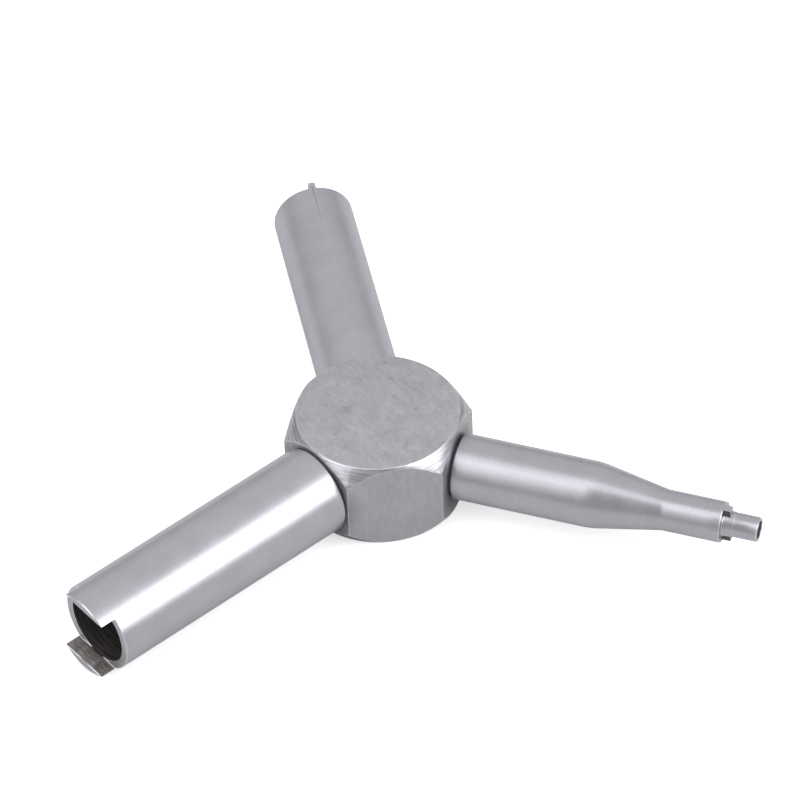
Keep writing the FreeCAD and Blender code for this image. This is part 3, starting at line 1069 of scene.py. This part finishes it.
class SteelShader:
    """A metal material under construction: a Principled shader and a place to work from."""

    def __init__(self, name: str, effects: Effects, matrix: Matrix) -> None:
        """Start the material.

        Args:
            name: Name of the material.
            effects: The shared groups.
            matrix: Matrix that takes the piece's own axes to the frame's.
        """
        self.material = bpy.data.materials.new(name)
        self.material.use_nodes = True
        self.effects = effects
        self.graph = Graph(self.material.node_tree)
        self.shader = self.material.node_tree.nodes["Principled BSDF"]
        self.shader.inputs["Metallic"].default_value = 1.0
        inverse = matrix.inverted()
        place = self.graph.add("ShaderNodeTexCoord").outputs["Object"]
        self.place = self.graph.add("ShaderNodeMapping", {
            "Vector": place, "Location": inverse.translation, "Rotation": inverse.to_euler(
                "XYZ")}).outputs[0]

    def attribute(self, name: str) -> bpy.types.NodeSocket:
        """Read one of the mesh's own values by name.

        Args:
            name: The value's name.

        Returns:
            The value's socket.
        """
        return self.graph.add("ShaderNodeAttribute", attribute_name=name,
            attribute_type="GEOMETRY").outputs["Fac"]

    def group(self, tree: bpy.types.NodeTree, output: str, **values: object) -> bpy.types.NodeSocket:
        """Place a shared group and return one of its outputs.

        Args:
            tree: The group.
            output: Name of the output.
            **values: Inputs, with words joined by underscores.

        Returns:
            The output.
        """
        node = self.graph.add("ShaderNodeGroup", node_tree=tree)
        values.setdefault("Vector", self.place)
        for label, value in values.items():
            self.graph.feed(node.inputs[label], value)
        return node.outputs[output]

    def shade(self, colour: object, tone: object, depth: float) -> bpy.types.NodeSocket:
        """Darken and lighten a colour by a tone.

        Args:
            colour: The colour.
            tone: A value about a half.
            depth: How far the tone swings the colour.

        Returns:
            The toned colour.
        """
        gain = self.graph.maths("MULTIPLY_ADD", self.graph.maths("SUBTRACT", tone, 0.5), depth, 1.0)
        node = self.graph.add("ShaderNodeVectorMath", operation="SCALE")
        self.graph.feed(node.inputs[0], colour[:3] if isinstance(colour, tuple) else colour)
        self.graph.feed(node.inputs["Scale"], gain)
        return node.outputs["Vector"]

    def finish(self, colour: object, roughness: object, height: object, depth: float) -> bpy.types.Material:
        """Feed the shader and return the material.

        Args:
            colour: Base colour.
            roughness: Roughness.
            height: Height of the surface's fine relief, from 0 to 1.
            depth: Depth of that relief, in metres.

        Returns:
            The material.
        """
        self.graph.feed(self.shader.inputs["Base Color"], colour)
        self.graph.feed(self.shader.inputs["Roughness"], roughness)
        bump = self.graph.add("ShaderNodeBump", {"Strength": 1.0, "Distance": depth, "Height": height})
        self.graph.feed(self.shader.inputs["Normal"], bump.outputs[0])
        return self.material


@dataclass(frozen=True)
class ArmFinish:
    """The satin steel of a turned arm.

    Attributes:
        name: Name of the material.
        tint: Colour of the turned skin.
        roughness: Roughness of the turned skin.
        marks: How strongly the turning marks show.
        mottle: How strongly the satin's grain and patches show.
        bore_shade_tint: Colour of the bored skin, darkened as painted shade inside the bore.
        milled_shade_tint: Colour of the milled walls, a rougher milled finish darkened further as painted
            shade.
        rub_and_highlight_tint: Colour of the broken edges, light from edge wear and from a painted highlight.
        burr: Station of the burr at the foot of the milled walls, where a painted highlight line is drawn.
        scribe: Depth of tone of the line scribed along the top.
        relief: Depth of the fine relief, in metres.
    """

    name: str
    tint: Colour = (0.565, 0.56, 0.602)
    roughness: float = 0.33
    marks: float = 0.06
    mottle: float = 1.0
    bore_shade_tint: Colour = (0.24, 0.215, 0.22)
    milled_shade_tint: Colour = (0.35, 0.325, 0.312)
    rub_and_highlight_tint: Colour = (0.86, 0.86, 0.89)
    burr: float = 0.0
    scribe: float = 0.0
    relief: float = 0.000003

    def material(self, effects: Effects, axis: ArmAxis) -> bpy.types.Material:
        """Build the material.

        Args:
            effects: The shared groups.
            axis: The arm's axis, which its marks run round.

        Returns:
            The material.
        """
        steel = SteelShader(self.name, effects, axis.matrix())
        graph = steel.graph
        marks = steel.group(effects.tool_marks, "Tone", Fineness=5200.0, Unevenness=1.2)
        grain = steel.group(effects.grain, "Grain")
        patch = steel.group(effects.grain, "Patch")
        skin = steel.shade(opaque(self.tint), marks, self.marks)
        skin = steel.shade(skin, patch, 0.16 * self.mottle)
        skin = steel.shade(skin, grain, 0.2 * self.mottle)
        if self.scribe:
            line = steel.group(effects.scribe, "Line", Offset=-0.00006)
            skin = steel.shade(skin, graph.maths("SUBTRACT", 0.5, line), self.scribe)
        colour, roughness, height = self.worked_walls(steel, skin, grain, patch, marks)
        # broken edges are lightened: part edge wear, part painted highlight
        rub_and_highlight = steel.group(effects.edge_rub_and_highlight, "Rub And Highlight", Edge=steel.attribute(Zone.BROKEN.value))
        _, above, station = graph.separate(steel.place)
        # the painted highlight on the edges fades towards the arm's underside, as if lit from above
        rub_and_highlight = graph.maths("MULTIPLY", rub_and_highlight, graph.remap(above, -0.004, 0.0, 0.08, 1.0))
        # painted highlight line along the burr at the foot of the milled walls
        if self.burr:
            foot = graph.remap(graph.maths("ABSOLUTE", graph.maths("SUBTRACT", station, self.burr)),
                0.00004, 0.00009, 1.0, 0.0)
            rub_and_highlight = graph.maths("MAXIMUM", rub_and_highlight,
                graph.maths("MULTIPLY", foot, steel.attribute(Zone.MILLED.value)))
        colour = graph.blend_colour(rub_and_highlight, colour, opaque(self.rub_and_highlight_tint))
        roughness = graph.blend_value(rub_and_highlight, roughness, 0.3)
        return steel.finish(colour, roughness, height, self.relief)

    def worked_walls(self, steel: SteelShader, skin: object, grain: object, patch: object,
            marks: object) -> tuple:
        """Lay the bored and milled walls over the turned skin, both darkened by painted shade.

        Args:
            steel: The material under construction.
            skin: Colour of the turned skin.
            grain: The grain's tone.
            patch: The patches' tone.
            marks: The turning marks' tone.

        Returns:
            Colour, roughness and height over the whole piece.
        """
        graph = steel.graph
        bored = steel.attribute(Zone.BORED.value)
        milled = steel.attribute(Zone.MILLED.value)
        rings = steel.group(steel.effects.tool_marks, "Tone", Fineness=6500.0, Unevenness=1.4)
        lines = steel.group(steel.effects.strokes, "Tone", Along=330.0, Across=7000.0)
        # the bore and the milled walls are darkened: painted shade
        colour = graph.blend_colour(bored, skin, steel.shade(opaque(self.bore_shade_tint), rings, 3.6))
        colour = graph.blend_colour(milled, colour, steel.shade(opaque(self.milled_shade_tint), lines, 2.6))
        roughness = graph.maths("MULTIPLY_ADD", patch, 0.1, self.roughness - 0.05)
        roughness = graph.blend_value(bored, roughness, 0.5)
        roughness = graph.blend_value(milled, roughness, 0.62)
        height = graph.maths("MULTIPLY_ADD", grain, 0.6, graph.maths("MULTIPLY", marks, 0.4))
        height = graph.blend_value(bored, height, graph.maths("MULTIPLY", rings, 2.0))
        height = graph.blend_value(milled, height, graph.maths("MULTIPLY", lines, 2.0))
        return colour, roughness, height


@dataclass(frozen=True)
class HubFinish:
    """The hub's steel: ground faces, turned cones and milled flats.

    Attributes:
        name: Name of the material.
        face_tint: Colour of the round faces.
        cone_tint: Colour of the turned cones.
        side_tint: Colour of the flats.
        grinding: Direction of the strokes on the round faces, in radians from +X.
    """

    name: str
    face_tint: Colour = (0.562, 0.557, 0.59)
    cone_tint: Colour = (0.5, 0.495, 0.53)
    side_tint: Colour = (0.492, 0.483, 0.505)
    # colour of the bright broken edges: part edge wear, part painted highlight
    rub_and_highlight_tint: Colour = (0.74, 0.74, 0.765)
    grinding: float = math.radians(116)
    relief: float = 0.0000025

    def material(self, effects: Effects) -> bpy.types.Material:
        """Build the material and return it.

        Args:
            effects: The shared effects.

        Returns:
            The material.
        """
        steel = SteelShader(self.name, effects, Matrix.Rotation(self.grinding, 4, "Z"))
        graph = steel.graph
        strokes = steel.group(effects.strokes, "Tone", Along=600.0, Across=1800.0)
        grain = steel.group(effects.grain, "Grain", Grain=2600.0)
        patch = steel.group(effects.grain, "Patch", Patches=420.0)
        smudge = graph.remap(steel.group(effects.grain, "Patch", Patches=560.0), 0.6, 0.72, 0.5, 0.0)
        feed = steel.group(effects.tool_marks, "Tone", Fineness=6200.0, Unevenness=3.0, Facing=1.0)
        upright = graph.vector_maths("MULTIPLY", steel.place, (1.0, 1.0, 0.35))
        upright_strokes = steel.group(effects.grain, "Grain", Vector=upright, Grain=1900.0)
        face = steel.shade(opaque(self.face_tint), strokes, 0.34)
        face = steel.shade(face, patch, 0.34)
        face = steel.shade(face, grain, 0.34)
        face = steel.shade(face, smudge, 0.3)
        cone = steel.shade(opaque(self.cone_tint), feed, 2.0)
        side = steel.shade(opaque(self.side_tint), upright_strokes, 0.3)
        side = steel.shade(side, patch, 0.25)
        # painted shade on the flats round the arms' roots
        side = self.paint_root_shade(steel, side)
        coned = steel.attribute("coned")
        flat_side = steel.attribute("flat_side")
        colour = graph.blend_colour(coned, face, cone)
        colour = graph.blend_colour(flat_side, colour, side)
        # broken edges are lightened: part edge wear, part painted highlight
        rub_and_highlight = steel.group(effects.edge_rub_and_highlight, "Rub And Highlight", Edge=steel.attribute("broken"))
        colour = graph.blend_colour(rub_and_highlight, colour, opaque(self.rub_and_highlight_tint))
        roughness = graph.blend_value(coned, 0.42, 0.33)
        roughness = graph.blend_value(flat_side, roughness, 0.38)
        roughness = graph.maths("MULTIPLY_ADD", graph.maths("SUBTRACT", patch, 0.5), 0.15, roughness)
        height = graph.blend_value(coned, strokes, graph.maths("MULTIPLY", feed, 3.5))
        height = graph.blend_value(flat_side, height, upright_strokes)
        return steel.finish(colour, roughness, height, self.relief)

    def paint_root_shade(self, steel: SteelShader, side: object) -> object:
        """Paint shade on the flats round the arms' roots.

        Args:
            steel: The material under construction.
            side: Colour of the flats.

        Returns:
            The darkened colour.
        """
        place = steel.graph.add("ShaderNodeTexCoord").outputs["Object"]
        for mount, radius in (
                ("wide_arm_bore", WIDE_RADIUS),
                ("narrow_arm_bore", NARROW_RADIUS),
                ("slim_tip_pilot", SLIM_RADIUS)):
            axis = ArmAxis.of_mount(mount)
            painted_shade = steel.group(
                steel.effects.contact, "Painted Shade", Vector=place,
                Heading=axis.heading, Height=axis.height, Radius=radius)
            # painted shade on the flat round each arm's root
            side = steel.shade(side, steel.graph.maths("MULTIPLY_ADD", painted_shade, -0.5, 0.5), 0.8)
        return side


@dataclass(frozen=True)
class StudFinish:
    """The blackened steel of the headless studs."""

    name: str
    tint: Colour = (0.055, 0.055, 0.06)
    worn_tint: Colour = (0.3, 0.29, 0.28)

    def material(self, effects: Effects, axis: ArmAxis) -> bpy.types.Material:
        """Build the material for the stud on an arm's axis and return it.

        Args:
            effects: The shared effects.
            axis: The arm's axis.

        Returns:
            The material.
        """
        steel = SteelShader(self.name, effects, axis.matrix())
        patch = steel.group(effects.grain, "Patch", Patches=1500.0)
        grain = steel.group(effects.grain, "Grain", Grain=9000.0)
        worn = steel.graph.remap(patch, 0.52, 0.7, 0.0, 0.6)
        colour = steel.graph.blend_colour(worn, opaque(self.tint), opaque(self.worn_tint))
        roughness = steel.graph.maths("MULTIPLY_ADD", grain, 0.2, 0.35)
        return steel.finish(colour, roughness, grain, 0.000002)


# ---------------------------------------------------------------- the key's pieces


def put_on_frame(piece: bpy.types.Object, material: bpy.types.Material, node: str) -> None:
    """Dress a finished piece and let it stand for its CAD node.

    Args:
        piece: The piece.
        material: Its material.
        node: Name of the CAD node.
    """
    piece.data.materials.clear()
    piece.data.materials.append(material)
    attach(piece, BODY)
    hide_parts(node)
    LOG.info("%s stands for %s: %d faces", piece.name, node, len(piece.data.polygons))


@dataclass
class Hub:
    """The hexagon hub, turned, milled and drilled."""

    node: str = "hex_hub"
    face_radius: float = 9.85 * MM
    chamfer_width: float = 3.4 * MM
    chamfer_depth: float = 4.7 * MM
    hole_radius: float = 2.5 * MM
    hole_bottom: float = 3.2 * MM
    drill_point: float = 1.4 * MM
    countersink: float = 0.4 * MM
    edge_break: float = 0.07 * MM
    segments: int = 240

    def build(self, lathe: bpy.types.NodeTree) -> bpy.types.Object:
        """Build the hub's mesh.

        Args:
            lathe: The lathe group.

        Returns:
            The piece.
        """
        low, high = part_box(self.node)
        piece = run_tree("hub_block", hub_tree(lathe), {
            "Across Flats": high.y - low.y,
            "Thickness": (high.z - low.z) * INSIDE_BOX,
            "Face Radius": self.face_radius,
            "Chamfer Width": self.chamfer_width,
            "Chamfer Depth": self.chamfer_depth,
            "Segments": self.segments,
            "Hole Radius": self.hole_radius, "Hole Bottom": self.hole_bottom, "Drill Point": self.drill_point,
            "Countersink": self.countersink})
        piece.data.materials.clear()
        for name in ("hub_skin", "hub_edge"):
            piece.data.materials.append(bpy.data.materials.new(name))
        bevel = piece.modifiers.new("broken_edges", "BEVEL")
        bevel.width = self.edge_break
        bevel.segments = 2
        bevel.limit_method = "ANGLE"
        bevel.angle_limit = math.radians(20)
        bevel.use_clamp_overlap = False
        bevel.material = 1
        plain_mesh(piece)
        edges = piece.data.attributes.new("broken", "FLOAT", "FACE")
        edges.data.foreach_set("value", [float(face.material_index) for face in piece.data.polygons])
        for face in piece.data.polygons:
            face.material_index = 0
        return smooth_by_angle(piece)

    def dress(self, piece: bpy.types.Object, effects: Effects) -> None:
        """Give the hub its finish and its place in the table.

        Args:
            piece: The finished piece.
            effects: The shared effects.
        """
        put_on_frame(piece, HubFinish("hub_ground_and_turned_steel").material(effects), self.node)


@dataclass
class Arm:
    """What the three arms share: an axis and a drilled root.

    Attributes:
        node: Name of the arm's CAD node.
        mount: Name of a mount on its axis.
        piece_name: Name of the finished piece.
        slot: Name of a material slot; not used.
        root_chamfer: Width of the chamfer at the hub.
        root_rub_and_highlight: Width of the bright line along that chamfer's outer edge, part edge wear and
            part painted highlight.
        hole_radius: Radius of the tapped hole in the root.
        hole_bottom: Station of that hole's bottom.
        drill_point: Length of its drill point.
    """

    node: str
    mount: str
    piece_name: str
    slot: str
    root_chamfer: float = 0.3 * MM
    root_rub_and_highlight: float = 0.06 * MM
    hole_radius: float = 2.5 * MM
    hole_bottom: float = 17.5 * MM
    drill_point: float = 1.4 * MM

    @property
    def axis(self) -> ArmAxis:
        """Return the arm's axis.

        Returns:
            The axis.
        """
        return ArmAxis.of_mount(self.mount)

    def root_rings(self, radius: float) -> list[Ring]:
        """List the rings from the bottom of the root's hole to the outside of the arm.

        Args:
            radius: Radius of the arm at its root.

        Returns:
            The rings.
        """
        root, _ = self.axis.reach(self.node)
        # a bright strip along the chamfer's outer edge: edge wear and painted highlight
        rub_and_highlight = self.root_rub_and_highlight
        return [
            Ring(self.hole_bottom + self.drill_point, radius=0.0),
            Ring(self.hole_bottom, radius=self.hole_radius, zone=Zone.BORED),
            Ring(root, radius=self.hole_radius, zone=Zone.BORED),
            Ring(root, radius=radius - self.root_chamfer, zone=Zone.FACED),
            Ring(root + self.root_chamfer - rub_and_highlight, radius=radius - rub_and_highlight, zone=Zone.FACED),
            Ring(root + self.root_chamfer, radius=radius, zone=Zone.BROKEN),
        ]

    def dress(self, piece: bpy.types.Object, finish: ArmFinish, effects: Effects) -> None:
        """Give the arm its finish and its place in the table.

        Args:
            piece: The finished piece.
            finish: The arm's finish.
            effects: The shared effects.
        """
        put_on_frame(piece, finish.material(effects, self.axis), self.node)


@dataclass
class ProngedTube(Arm):
    """A bored tube whose rim ends in two opposite prongs.

    Attributes:
        radius: Outer radius of the tube.
        wall: How the prongs' walls run.
        half_width: Distance from the axis to a prong's wall.
        prong_height: How far the prongs stand past the rim.
        bore_bottom: Station of the bore's flat bottom.
        bore_point: Length of the bore's drill point.
        round_off: Radius of the rim's outer edge.
        edge_break: Width of the bore's broken edge.
        end_break: Width of the broken edge round a prong's end.
        feet: Radii of the prongs' concave feet.
        roll: Turn of the prongs about the arm, in radians.
    """

    radius: float = NARROW_RADIUS
    wall: TabWall = TabWall.BAR
    half_width: float = 0.435 * MM
    prong_height: float = 1.0 * MM
    bore_bottom: float = 24.0 * MM
    bore_point: float = 2.4 * MM
    round_off: float = 0.2 * MM
    edge_break: float = 0.06 * MM
    end_break: float = 0.12 * MM
    feet: tuple[float, float] = (0.0, 0.0)
    roll: float = 0.0

    @property
    def bore_radius(self) -> float:
        """Return the bore's radius, from the record's mount.

        Returns:
            The radius in metres.
        """
        mount = next(item for item in frame["record"]["mounts"] if item["name"] == self.mount)
        return mount["dims"]["r_mm"] * MM

    def build(self) -> bpy.types.Object:
        """Build the tube's mesh and return the piece.

        Returns:
            The piece.
        """
        _, tab_end = self.axis.reach(self.node)
        rim = tab_end - self.prong_height
        tabs = Tabs(self.wall, self.half_width, self.radius, self.bore_radius, self.prong_height,
                    self.end_break, self.feet, self.roll)
        rings = self.root_rings(self.radius)
        rings += rim_rings(tabs, rim, self.round_off)
        rings += bored_rim_rings(tabs, rim, self.edge_break)
        rings += [
            Ring(self.bore_bottom, radius=self.bore_radius, inside=True, zone=Zone.BORED),
            Ring(self.bore_bottom - self.bore_point, radius=0.0, inside=True, zone=Zone.BORED),
        ]
        return turned_skin(self.piece_name, rings, tabs, tab_end, self.axis)


@dataclass
class SlimTip(Arm):
    """A slim shank that tapers to a barrel with a cross blade and a hollow pilot."""

    radius: float = SLIM_RADIUS
    root_chamfer: float = 0.4 * MM
    cone_start: float = 27.4 * MM
    cone_end: float = 36.0 * MM
    cone_blends: tuple[float, float] = (0.9 * MM, 0.25 * MM)
    barrel_radius: float = 2.5 * MM
    shoulder: float = 43.3 * MM
    shoulder_round: float = 0.14 * MM
    blade_length: float = 0.95 * MM
    blade_half_width: float = 0.475 * MM
    pilot_root_radius: float = 1.6 * MM
    pilot_root_end: float = 44.7 * MM
    pilot_radius: float = 1.5 * MM
    pilot_break: float = 0.125 * MM
    pilot_bore_radius: float = 1.1 * MM
    pilot_bore_depth: float = 8.0 * MM
    edge_break: float = 0.05 * MM
    fillet: float = 0.2 * MM
    fillet_steps: int = 5

    def build(self) -> bpy.types.Object:
        """Build the arm's mesh and return the piece.

        Returns:
            The piece.
        """
        _, pilot_end = self.axis.reach(self.node)
        blade_end = self.shoulder + self.blade_length
        tabs = Tabs(TabWall.BAR, self.blade_half_width, self.barrel_radius, self.pilot_root_radius,
                    self.blade_length, self.edge_break)
        rings = self.root_rings(self.radius)
        shank = rounded_turns([
            (self.cone_start - 4 * MM, self.radius), (self.cone_start, self.radius),
            (self.cone_end, self.barrel_radius), (
                self.shoulder - 2 * MM, self.barrel_radius)], self.cone_blends)
        rings += [Ring(station, radius=radius) for station, radius in shank]
        rings += rim_rings(tabs, self.shoulder, self.shoulder_round)
        rings += self.fillet_rings(tabs, blade_end)
        rings += self.pilot_rings(pilot_end)
        return turned_skin(self.piece_name, rings, tabs, blade_end, self.axis)

    def fillet_rings(self, tabs: Tabs, blade_end: float) -> list[Ring]:
        """List the rings of the fillet between the shoulder and the pilot.

        Args:
            tabs: The two ends of the cross blade.
            blade_end: Station of the blade's end.

        Returns:
            The rings.
        """
        start = 1 - self.fillet / (tabs.outer_radius - tabs.inner_radius)
        rings = []
        for step in range(self.fillet_steps + 1):
            turn = QUARTER * step / self.fillet_steps
            rings.append(Ring(
                self.shoulder + self.fillet * (1 - math.cos(turn)), across=start + (
                    1 - start) * math.sin(turn),
                tab_across=1, tab_station=blade_end, zone=Zone.FACED))
        return rings

    def pilot_rings(self, pilot_end: float) -> list[Ring]:
        """List the rings over the hollow pilot and down to the bottom of its hole.

        Args:
            pilot_end: Station of the pilot's end.

        Returns:
            The rings.
        """
        bore_bottom = pilot_end - self.pilot_bore_depth
        bore_edge = self.pilot_bore_radius + self.edge_break
        return [
            Ring(self.pilot_root_end - self.edge_break, radius=self.pilot_radius + 0.5 * self.edge_break,
                inside=True),
            Ring(self.pilot_root_end, radius=self.pilot_radius, inside=True, zone=Zone.BROKEN),
            Ring(pilot_end - self.pilot_break, radius=self.pilot_radius, inside=True),
            Ring(pilot_end, radius=self.pilot_radius - self.pilot_break, inside=True, zone=Zone.BROKEN),
            Ring(pilot_end, radius=bore_edge, inside=True, zone=Zone.FACED),
            Ring(pilot_end - self.edge_break, radius=self.pilot_bore_radius, inside=True, zone=Zone.BROKEN),
            Ring(bore_bottom, radius=self.pilot_bore_radius, inside=True, zone=Zone.BORED),
            Ring(bore_bottom, radius=0.0, inside=True, zone=Zone.BORED),
        ]


@dataclass
class Stud:
    """A headless stud that joins an arm to the hub, threaded from end to end."""

    node: str
    mount: str
    piece_name: str
    radius: float = 2.49 * MM
    pitch: float = 0.8 * MM
    thread_depth: float = 0.45 * MM
    end_chamfer: float = 0.5 * MM
    socket_flats: float = 2.5 * MM
    socket_depth: float = 2.5 * MM

    @property
    def axis(self) -> ArmAxis:
        """Return the stud's axis.

        Returns:
            The axis.
        """
        return ArmAxis.of_mount(self.mount)

    def build(self, tree: bpy.types.NodeTree) -> bpy.types.Object:
        """Build the stud's mesh with the given tree and return the piece.

        Args:
            tree: The Geometry Nodes tree that rolls the thread.

        Returns:
            The piece.
        """
        inner, outer = self.axis.reach(self.node)
        piece = run_tree(self.piece_name, tree, {
            "Length": outer - inner, "Radius": self.radius,
            "Pitch": self.pitch, "Thread Depth": self.thread_depth,
            "End Chamfer": self.end_chamfer,
            "Socket Flats": self.socket_flats, "Socket Depth": self.socket_depth})
        piece.data.transform(self.axis.matrix() @ Matrix.Translation((0, 0, inner)))
        return smooth_by_angle(piece)

    def dress(self, piece: bpy.types.Object, effects: Effects) -> None:
        """Give the stud its finish and its place in the table.

        Args:
            piece: The finished piece.
            effects: The shared effects.
        """
        material = StudFinish(f"{self.piece_name}_blackened_steel").material(effects, self.axis)
        put_on_frame(piece, material, self.node)


# ---------------------------------------------------------------- studio


@dataclass(frozen=True)
class Softbox:
    """A soft light panel that faces the key.

    Attributes:
        name: Name of the light.
        azimuth: Direction to it in degrees, from +Y towards +X.
        elevation: Its elevation, in degrees.
        width: Its width, in metres.
        height: Its height, in metres.
        radiance: How bright its face looks.
        distance: Distance from the key, in metres.
    """

    name: str
    azimuth: float
    elevation: float
    width: float
    height: float
    radiance: float
    distance: float = 0.6

    def build(self) -> None:
        """Hang the light."""
        light = bpy.data.lights.new(self.name, "AREA")
        light.shape = "RECTANGLE"
        light.size = self.width
        light.size_y = self.height
        light.energy = self.radiance * math.pi * self.width * self.height
        lamp = bpy.data.objects.new(self.name, light)
        turn, lift = math.radians(self.azimuth), math.radians(self.elevation)
        toward = Vector((math.sin(turn) * math.cos(lift), math.cos(turn) * math.cos(lift), math.sin(lift)))
        lamp.location = toward * self.distance
        lamp.rotation_euler = toward.to_track_quat("Z", "Y").to_euler()
        bpy.context.scene.collection.objects.link(lamp)


@dataclass(frozen=True)
class Studio:
    """A pale table in a light tent, with a long lens that looks down at the key."""

    floor_half_size: float = 2.0
    floor_drop: float = 0.02 * MM
    camera_azimuth: float = -9.70
    camera_elevation: float = 43.59
    camera_roll: float = -2.38
    camera_distance: float = 0.708
    camera_right: float = 2.73 * MM
    camera_up: float = 10.21 * MM
    lens: float = 262.5
    tent_level: float = 0.72
    horizon_level: float = 0.41
    dark_level: float = 0.40
    softboxes: tuple[Softbox, ...] = (
        Softbox("right_softbox", 130.0, 36.0, 0.52, 0.48, 2.35),
        Softbox("left_softbox", -111.0, 41.0, 0.44, 0.54, 1.06),
        Softbox("overhead_softbox", -150.0, 76.0, 0.28, 0.28, 1.0),
    )

    def build(self) -> None:
        """Set up the floor, the tent, the lights and the camera."""
        self.lay_floor()
        self.raise_tent()
        for softbox in self.softboxes:
            softbox.build()
        self.set_camera()
        bpy.context.scene.view_settings.view_transform = "Standard"

    def lay_floor(self) -> None:
        """Lay the pale table top."""
        reach = self.floor_half_size
        mesh = bpy.data.meshes.new("table_top")
        corners = [(-reach, -reach), (reach, -reach), (reach, reach), (-reach, reach)]
        mesh.from_pydata([(across, along, -self.floor_drop) for across, along in corners], [],
            [(0, 1, 2, 3)])
        floor = bpy.data.objects.new("table_top", mesh)
        bpy.context.scene.collection.objects.link(floor)
        material = bpy.data.materials.new("matt_white_table")
        material.use_nodes = True
        graph = Graph(material.node_tree)
        material.node_tree.nodes.clear()
        seen = graph.add("ShaderNodeBsdfDiffuse", {"Color": (0.97, 0.97, 0.97, 1)})
        lit = graph.add("ShaderNodeEmission", {"Color": (1, 1, 1, 1), "Strength": 0.5})
        bright = graph.add("ShaderNodeAddShader", {0: seen.outputs[0], 1: lit.outputs[0]})
        place = graph.separate(graph.add("ShaderNodeTexCoord").outputs["Object"])
        # reflections see a dimmer copy of the table, darker towards the front: painted shade
        level = graph.remap(place[1], -0.06, 0.01, 0.57, 0.78)
        reflected = graph.add("ShaderNodeBsdfDiffuse", {"Color": graph.combine(level, level, level)})
        to_camera = graph.add("ShaderNodeLightPath").outputs["Is Camera Ray"]
        choice = graph.add("ShaderNodeMixShader",
            {0: to_camera, 1: reflected.outputs[0], 2: bright.outputs[0]})
        graph.add("ShaderNodeOutputMaterial", {"Surface": choice.outputs[0]})
        mesh.materials.append(material)

    def raise_tent(self) -> None:
        """Light the key from all round, less from behind the camera."""
        world = bpy.data.worlds.new("light_tent")
        bpy.context.scene.world = world
        world.use_nodes = True
        graph = Graph(world.node_tree)
        world.node_tree.nodes.clear()
        toward = graph.add("ShaderNodeTexCoord").outputs["Generated"]
        turn, lift = math.radians(180.0), math.radians(25.0)
        opening = (math.sin(turn) * math.cos(lift), math.cos(turn) * math.cos(lift), math.sin(lift))
        nearness = graph.add("ShaderNodeVectorMath", {0: toward, 1: opening}, operation="DOT_PRODUCT")
        level = graph.remap(nearness.outputs["Value"], 0.45, 0.95, self.tent_level, self.dark_level)
        sky = graph.remap(graph.separate(toward)[2], 0.05, 0.45, self.horizon_level, self.tent_level)
        level = graph.maths("MINIMUM", level, sky)
        background = graph.add("ShaderNodeBackground", {"Color": (0.985, 0.985, 1.0, 1), "Strength": level})
        graph.add("ShaderNodeOutputWorld", {"Surface": background.outputs[0]})

    def set_camera(self) -> None:
        """Place the camera."""
        turn, lift, roll = (math.radians(angle) for angle in (
            self.camera_azimuth, self.camera_elevation, self.camera_roll))
        toward = Vector((math.sin(turn) * math.cos(lift), -math.cos(turn) * math.cos(lift), math.sin(lift)))
        right = Vector((math.cos(turn), math.sin(turn), 0))
        up = right.cross(-toward)
        place = toward * self.camera_distance + right * self.camera_right + up * self.camera_up
        rolled_right = right * math.cos(roll) + up * math.sin(roll)
        rolled_up = up * math.cos(roll) - right * math.sin(roll)
        data = bpy.data.cameras.new("camera")
        data.lens = self.lens
        data.clip_start = 0.01
        camera = bpy.data.objects.new("camera", data)
        bpy.context.scene.collection.objects.link(camera)
        turned = Matrix((rolled_right, rolled_up, toward)).transposed().to_4x4()
        camera.matrix_world = Matrix.Translation(place) @ turned
        bpy.context.scene.camera = camera


def main() -> None:
    """Build the key, piece by piece, and the studio round it."""
    logging.basicConfig(level=logging.INFO, format="%(name)s: %(message)s")
    effects = Effects.build()
    hub = Hub()
    hub.dress(hub.build(lathe_group()), effects)

    wide = ProngedTube(
        "wide_prong_arm", "wide_arm_bore", "wide_prong_tube", "tube_steel", radius=WIDE_RADIUS,
        wall=TabWall.CHORD, half_width=4.45 * MM, prong_height=2.1 * MM, bore_point=2.7 * MM,
        round_off=0.08 * MM, roll=math.radians(-5))
    wide.dress(wide.build(), ArmFinish("wide_tube_satin_steel", burr=44.0 * MM), effects)
    narrow = ProngedTube(
        "narrow_prong_arm", "narrow_arm_bore", "narrow_prong_tube", "tube_steel",
        round_off=0.25 * MM, feet=(0.3 * MM, 0.1 * MM), roll=math.radians(1.6))
    narrow.dress(narrow.build(), ArmFinish("narrow_tube_satin_steel", roughness=0.39, scribe=0.4), effects)
    slim = SlimTip("slim_tip_arm", "slim_tip_pilot", "slim_tip_shank", "slim_steel")
    # dark bore and very dark blade sides: painted shade in the pilot's bore and on the blade's side faces
    slim_finish = ArmFinish(
        "slim_shank_satin_steel", tint=(0.54, 0.535, 0.575),
        roughness=0.32, marks=0.15, mottle=1.1, bore_shade_tint=(0.3, 0.29, 0.3),
        milled_shade_tint=(0.17, 0.165, 0.16))
    slim.dress(slim.build(), slim_finish, effects)

    thread = stud_tree()
    for arm, mount in (("wide", "wide_arm_bore"), ("narrow", "narrow_arm_bore"),
        ("slim", "slim_tip_pilot")):
        stud = Stud(f"{arm}_arm_stud", mount, f"{arm}_threaded_stud")
        stud.dress(stud.build(thread), effects)

    Studio().build()


if __name__ == "__main__":
    main()
